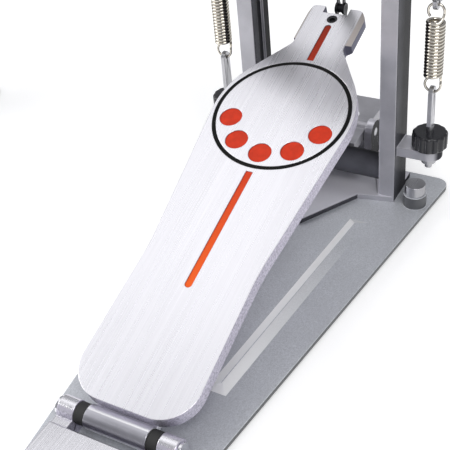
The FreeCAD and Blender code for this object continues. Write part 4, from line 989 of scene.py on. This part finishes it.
@dataclass
class HoopClamp:
    """The rubber pad and the wing bolt of the hoop clamp; the jaw and its pin keep their CAD shapes."""

    pad_ribs: int = 6
    pad_rib_depth: float = 0.7 * MM
    pad_squareness: float = 9.0
    pad_end: float = 0.999
    pad_rows: int = 41
    pad_columns: int = 160
    jaw_edge: float = 0.5 * MM
    pin_edge: float = 0.15 * MM
    bolt_spot: Pair = (0.0, 20.0 * MM)
    stem: float = 4.0 * MM
    thread_pitch: float = 1.5 * MM
    thread_depth: float = 0.55 * MM
    thread_start: float = 0.6
    thread_rows: int = 8
    thread_columns: int = 32
    hub: float = 6.5 * MM
    wing_height: float = 12.0 * MM
    wing_half_span: float = 18.0 * MM
    wing_half_thickness: float = 2.3 * MM
    wing_foot: float = 0.16
    wing_fullness: float = 0.45
    wing_taper: float = 0.35
    hub_taper: float = 0.25
    corner: int = 6
    fillet: int = 8
    least_sine: float = 1e-4
    crowding: float = 0.42
    wing_rows: int = 22
    wing_columns: int = 200
    tip_share: float = 0.62

    def pad(self) -> None:
        """The pad: a rounded block carried along X, with ribs across its lower face.

        Its section is a superellipse of a high power, the ends draw in along the same curve, and
        the lower half is scalloped along Y by a cosine.
        """
        low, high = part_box("clamp_pad")
        middle, half = (low + high) / 2, (high - low) / 2
        along = np.sin(np.linspace(-math.pi / 2, math.pi / 2, self.pad_rows))
        draw = (1 - np.abs(along) ** self.pad_squareness * self.pad_end) ** (1 / self.pad_squareness)
        angle = circle(self.pad_columns)
        power = 2 / self.pad_squareness
        side = np.sign(np.cos(angle)) * np.abs(np.cos(angle)) ** power
        rise = np.sign(np.sin(angle)) * np.abs(np.sin(angle)) ** power
        y = middle.y + half.y * draw[:, None] * side
        scallop = self.pad_rib_depth * (0.5 + 0.5 * np.cos(TURN * self.pad_ribs * side / 2))
        z = middle.z + half.z * draw[:, None] * rise + np.where(rise < 0, scallop, 0)
        x = np.repeat((middle.x + half.x * along)[:, None], len(angle), axis=1)
        piece = skin("clamp_pad_ribbed", np.stack([x, y, z], -1), RUBBER)
        settle(piece, "clamp_jaw", "rubber_mat", "clamp_pad")

    def polar(self, radius: np.ndarray, angle: np.ndarray, height: np.ndarray) -> np.ndarray:
        """A grid of points round the bolt's axis, from a radius for each height and angle."""
        x, y = (spot + radius * wave for spot, wave in zip(self.bolt_spot, (np.cos(angle), np.sin(angle))))
        return np.stack([x, y, np.repeat(height[:, None], len(angle), axis=1)], -1)

    def threaded_stem(self) -> None:
        """The bolt's stem, whose radius follows a triangle wave of height less turn, which winds a thread."""
        low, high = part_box("clamp_wing_bolt")
        top = high.z - self.wing_height
        height = np.arange(low.z, top + self.thread_pitch, self.thread_pitch / self.thread_rows)
        angle = circle(self.thread_columns)
        phase = height[:, None] / self.thread_pitch - angle / TURN
        radius = self.stem - self.thread_depth * np.abs(2 * (phase - np.floor(phase)) - 1)
        chamfer = np.clip((height - low.z) / self.thread_pitch + self.thread_start, 0, 1)[:, None]
        radius = np.minimum(radius, self.stem * chamfer)
        piece = skin("wing_bolt_stem", self.polar(radius, angle, height), CHROME, sharp=70.0)
        settle(piece, "wing_bolt", "bright_metal", "clamp_wing_bolt")

    def wings(self) -> None:
        """The bolt's hub and wings as one polar surface.

        At each height the radius is a soft maximum of the hub's round and of a blade, which is the
        half thickness over the sine of the angle and stops at the wing's outline. The outline is
        narrow at the foot and swells to a round lobe above.
        """
        _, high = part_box("clamp_wing_bolt")
        up = np.concatenate([[0.0], np.sin(np.linspace(0, math.pi / 2, self.wing_rows)), [1.0]])
        turn = np.linspace(0, 1, self.wing_columns, endpoint=False)
        angle = TURN * turn - self.crowding * np.sin(2 * TURN * turn)
        climb = self.wing_foot + (1 - self.wing_foot) * up
        swell = np.clip(np.sin(math.pi * climb), 0, 1) ** self.wing_fullness
        outline = (self.hub + (self.wing_half_span - self.hub) * swell)[:, None]
        hub = (self.hub * (1 - self.hub_taper * up**self.corner))[:, None]
        thin = self.wing_half_thickness * (1 - self.wing_taper * up[:, None])
        blade = thin / np.maximum(np.abs(np.sin(angle)), self.least_sine)
        blade = 1 / (1 / blade**self.corner + 1 / outline**self.corner) ** (1 / self.corner)
        radius = (hub**self.fillet + blade**self.fillet) ** (1 / self.fillet)
        radius *= np.where(np.arange(len(up)) % (len(up) - 1) == 0, self.tip_share, 1)[:, None]
        height = high.z - self.wing_height * (1 - up)
        piece = skin("wing_bolt_wings", self.polar(radius, angle, height), CHROME, sharp=50.0)
        settle(piece, "wing_bolt", "bright_metal", "clamp_wing_bolt")

    def build(self) -> None:
        """Dresses the jaw and its pin and makes the pad and the wing bolt."""
        dress(CAST, self.jaw_edge, "clamp_jaw")
        dress(STEEL, self.pin_edge, "clamp_pin")
        self.pad()
        self.threaded_stem()
        self.wings()


@dataclass
class Linkage:
    """Axles, drive shaft, rockers, spring hooks and the beaters' metal parts, which keep their CAD shapes."""

    edge: float = 0.35 * MM
    fine_edge: float = 0.25 * MM

    def build(self) -> None:
        """Dresses the nodes of the linkage."""
        dress(STEEL, self.fine_edge, "main_axle", "left_axle", "slave_axle", "main_joint_cross",
              "slave_joint_cross", "drive_rod", "spring_hooks")
        dress(CHROME, self.fine_edge, "drive_tube", "shaft_key_screw")
        for word in (side.word for side in Side):
            dress(CAST, self.edge, f"{word}_rocker")
            dress(STEEL, self.edge, f"{word}_stirrup")
            dress(CAST, self.fine_edge, f"{word}_beater_hub")
            dress(CHROME, self.fine_edge, f"{word}_beater_screw", f"{word}_beater_rod")


@dataclass(frozen=True)
class SoftBox:
    """A flat soft light, described by how bright its face looks, where 1 is white."""

    name: str
    spot: Point
    aim: Point
    width: float
    depth: float
    brightness: float

    def build(self) -> None:
        """Hangs the light; its power is its brightness times its area and pi."""
        light = bpy.data.lights.new(self.name, "AREA")
        light.shape = "RECTANGLE"
        light.size, light.size_y = self.width, self.depth
        light.energy = self.brightness * math.pi * self.width * self.depth
        turn = (Vector(self.aim) - Vector(self.spot)).to_track_quat("-Z", "Y").to_matrix().to_4x4()
        show(self.name, light).matrix_world = Matrix.Translation(self.spot) @ turn


@dataclass
class Studio:
    """Floor, soft light and the camera at the photograph's angle."""

    camera_from_hinge: Point = (0.2346, -0.24132, 0.3748)
    azimuth: float = 32.5575
    elevation: float = 36.9307
    roll: float = -6.4192
    lens: float = 73.13
    floor_half: float = 30.0
    floor_drop: float = 0.2 * MM
    floor_tones: tuple[Colour, Colour] = ((0.84, 0.84, 0.84), (0.87, 0.87, 0.87))
    floor_specks: Noise = Noise(30.0, 3.0)
    floor_roughness: float = 0.9
    floor_gloss: float = 0.1
    floor_glow: float = 0.35
    sky: Colour = (0.33, 0.335, 0.35)
    lights: tuple[SoftBox, ...] = (
        SoftBox("above_heel", (-0.62, -0.35, 1.6), (-0.62, -0.35, 0.0), 1.5, 0.40, 0.52),
        SoftBox("above_ball", (-0.62, 0.24, 1.6), (-0.62, 0.24, 0.0), 1.5, 0.78, 0.93),
        SoftBox("above_drum", (-0.50, 0.98, 1.6), (-0.50, 0.98, 0.0), 1.5, 0.5, 0.66),
        SoftBox("left", (-1.87, -0.65, 1.1), (0.0, -0.1, 0.08), 1.4, 1.4, 3.6),
        SoftBox("right", (0.90, -1.10, 1.9), (0.0, -0.1, 0.08), 1.2, 1.2, 5.5),
    )

    def floor(self) -> None:
        """A wide pale floor that keeps the shadow and reads as white to the camera and to metal."""
        half = self.floor_half
        mesh = bpy.data.meshes.new("floor")
        corners = [(-half, -half), (half, -half), (half, half), (-half, half)]
        mesh.from_pydata([(x, y, -self.floor_drop) for x, y in corners], [], [(0, 1, 2, 3)])
        recipe = Recipe("pale_floor")
        speck = self.floor_specks.add(recipe)
        recipe.drive("Base Color", recipe.mix(speck, *self.floor_tones))
        recipe.fix(roughness=self.floor_roughness, specular_ior_level=self.floor_gloss)
        rays = recipe.add("LightPath").outputs
        seen = recipe.work("Math", "MAXIMUM", rays["Is Camera Ray"], rays["Is Glossy Ray"])
        seen = recipe.work("Math", "MAXIMUM", seen, rays["Is Transmission Ray"])
        recipe.shader.inputs["Emission Color"].default_value = (1.0, 1.0, 1.0, 1.0)
        recipe.drive("Emission Strength", recipe.span(seen, 0.0, self.floor_glow))
        mesh.materials.append(recipe.material)
        floor = show("floor", mesh)

    def light(self) -> None:
        """An even grey sky and the soft boxes."""
        world = bpy.data.worlds.new("studio")
        world.use_nodes = True
        background = world.node_tree.nodes["Background"]
        background.inputs["Color"].default_value = (*self.sky, 1.0)
        bpy.context.scene.world = world
        for light in self.lights:
            light.build()

    def shoot(self) -> None:
        """The camera, placed from the main hinge and turned by azimuth, elevation and roll."""
        low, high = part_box("main_hinge_pin")
        spot = (low + high) / 2
        spot.x = 0.0
        azimuth, elevation, roll = (math.radians(a) for a in (self.azimuth, self.elevation, self.roll))
        back = Vector((math.sin(azimuth) * math.cos(elevation), -math.cos(azimuth) * math.cos(elevation),
                       math.sin(elevation)))
        level = Vector((math.cos(azimuth), math.sin(azimuth), 0.0))
        over = back.cross(level)
        right = math.cos(roll) * level + math.sin(roll) * over
        up = math.cos(roll) * over - math.sin(roll) * level
        data = bpy.data.cameras.new("photo")
        data.lens = self.lens
        camera = show("photo", data)
        turn = Matrix((right, up, back)).transposed().to_4x4()
        camera.matrix_world = Matrix.Translation(spot + Vector(self.camera_from_hinge)) @ turn
        bpy.context.scene.camera = camera

    def build(self) -> None:
        """Sets up the studio."""
        bpy.context.scene.view_settings.view_transform = "Standard"
        self.floor()
        self.light()
        self.shoot()


def main() -> None:
    """Builds and dresses every sub-assembly, then the studio."""
    logging.basicConfig(level=logging.INFO, format="%(message)s")
    for pedal in Pedal:
        PedalDress(pedal).build()
    Linkage().build()
    HoopClamp().build()
    Adjusters().build()
    for side in Side:
        ReturnSpring(side).build()
        Beater(side).build()
    Studio().build()


if __name__ == "__main__":
    main()
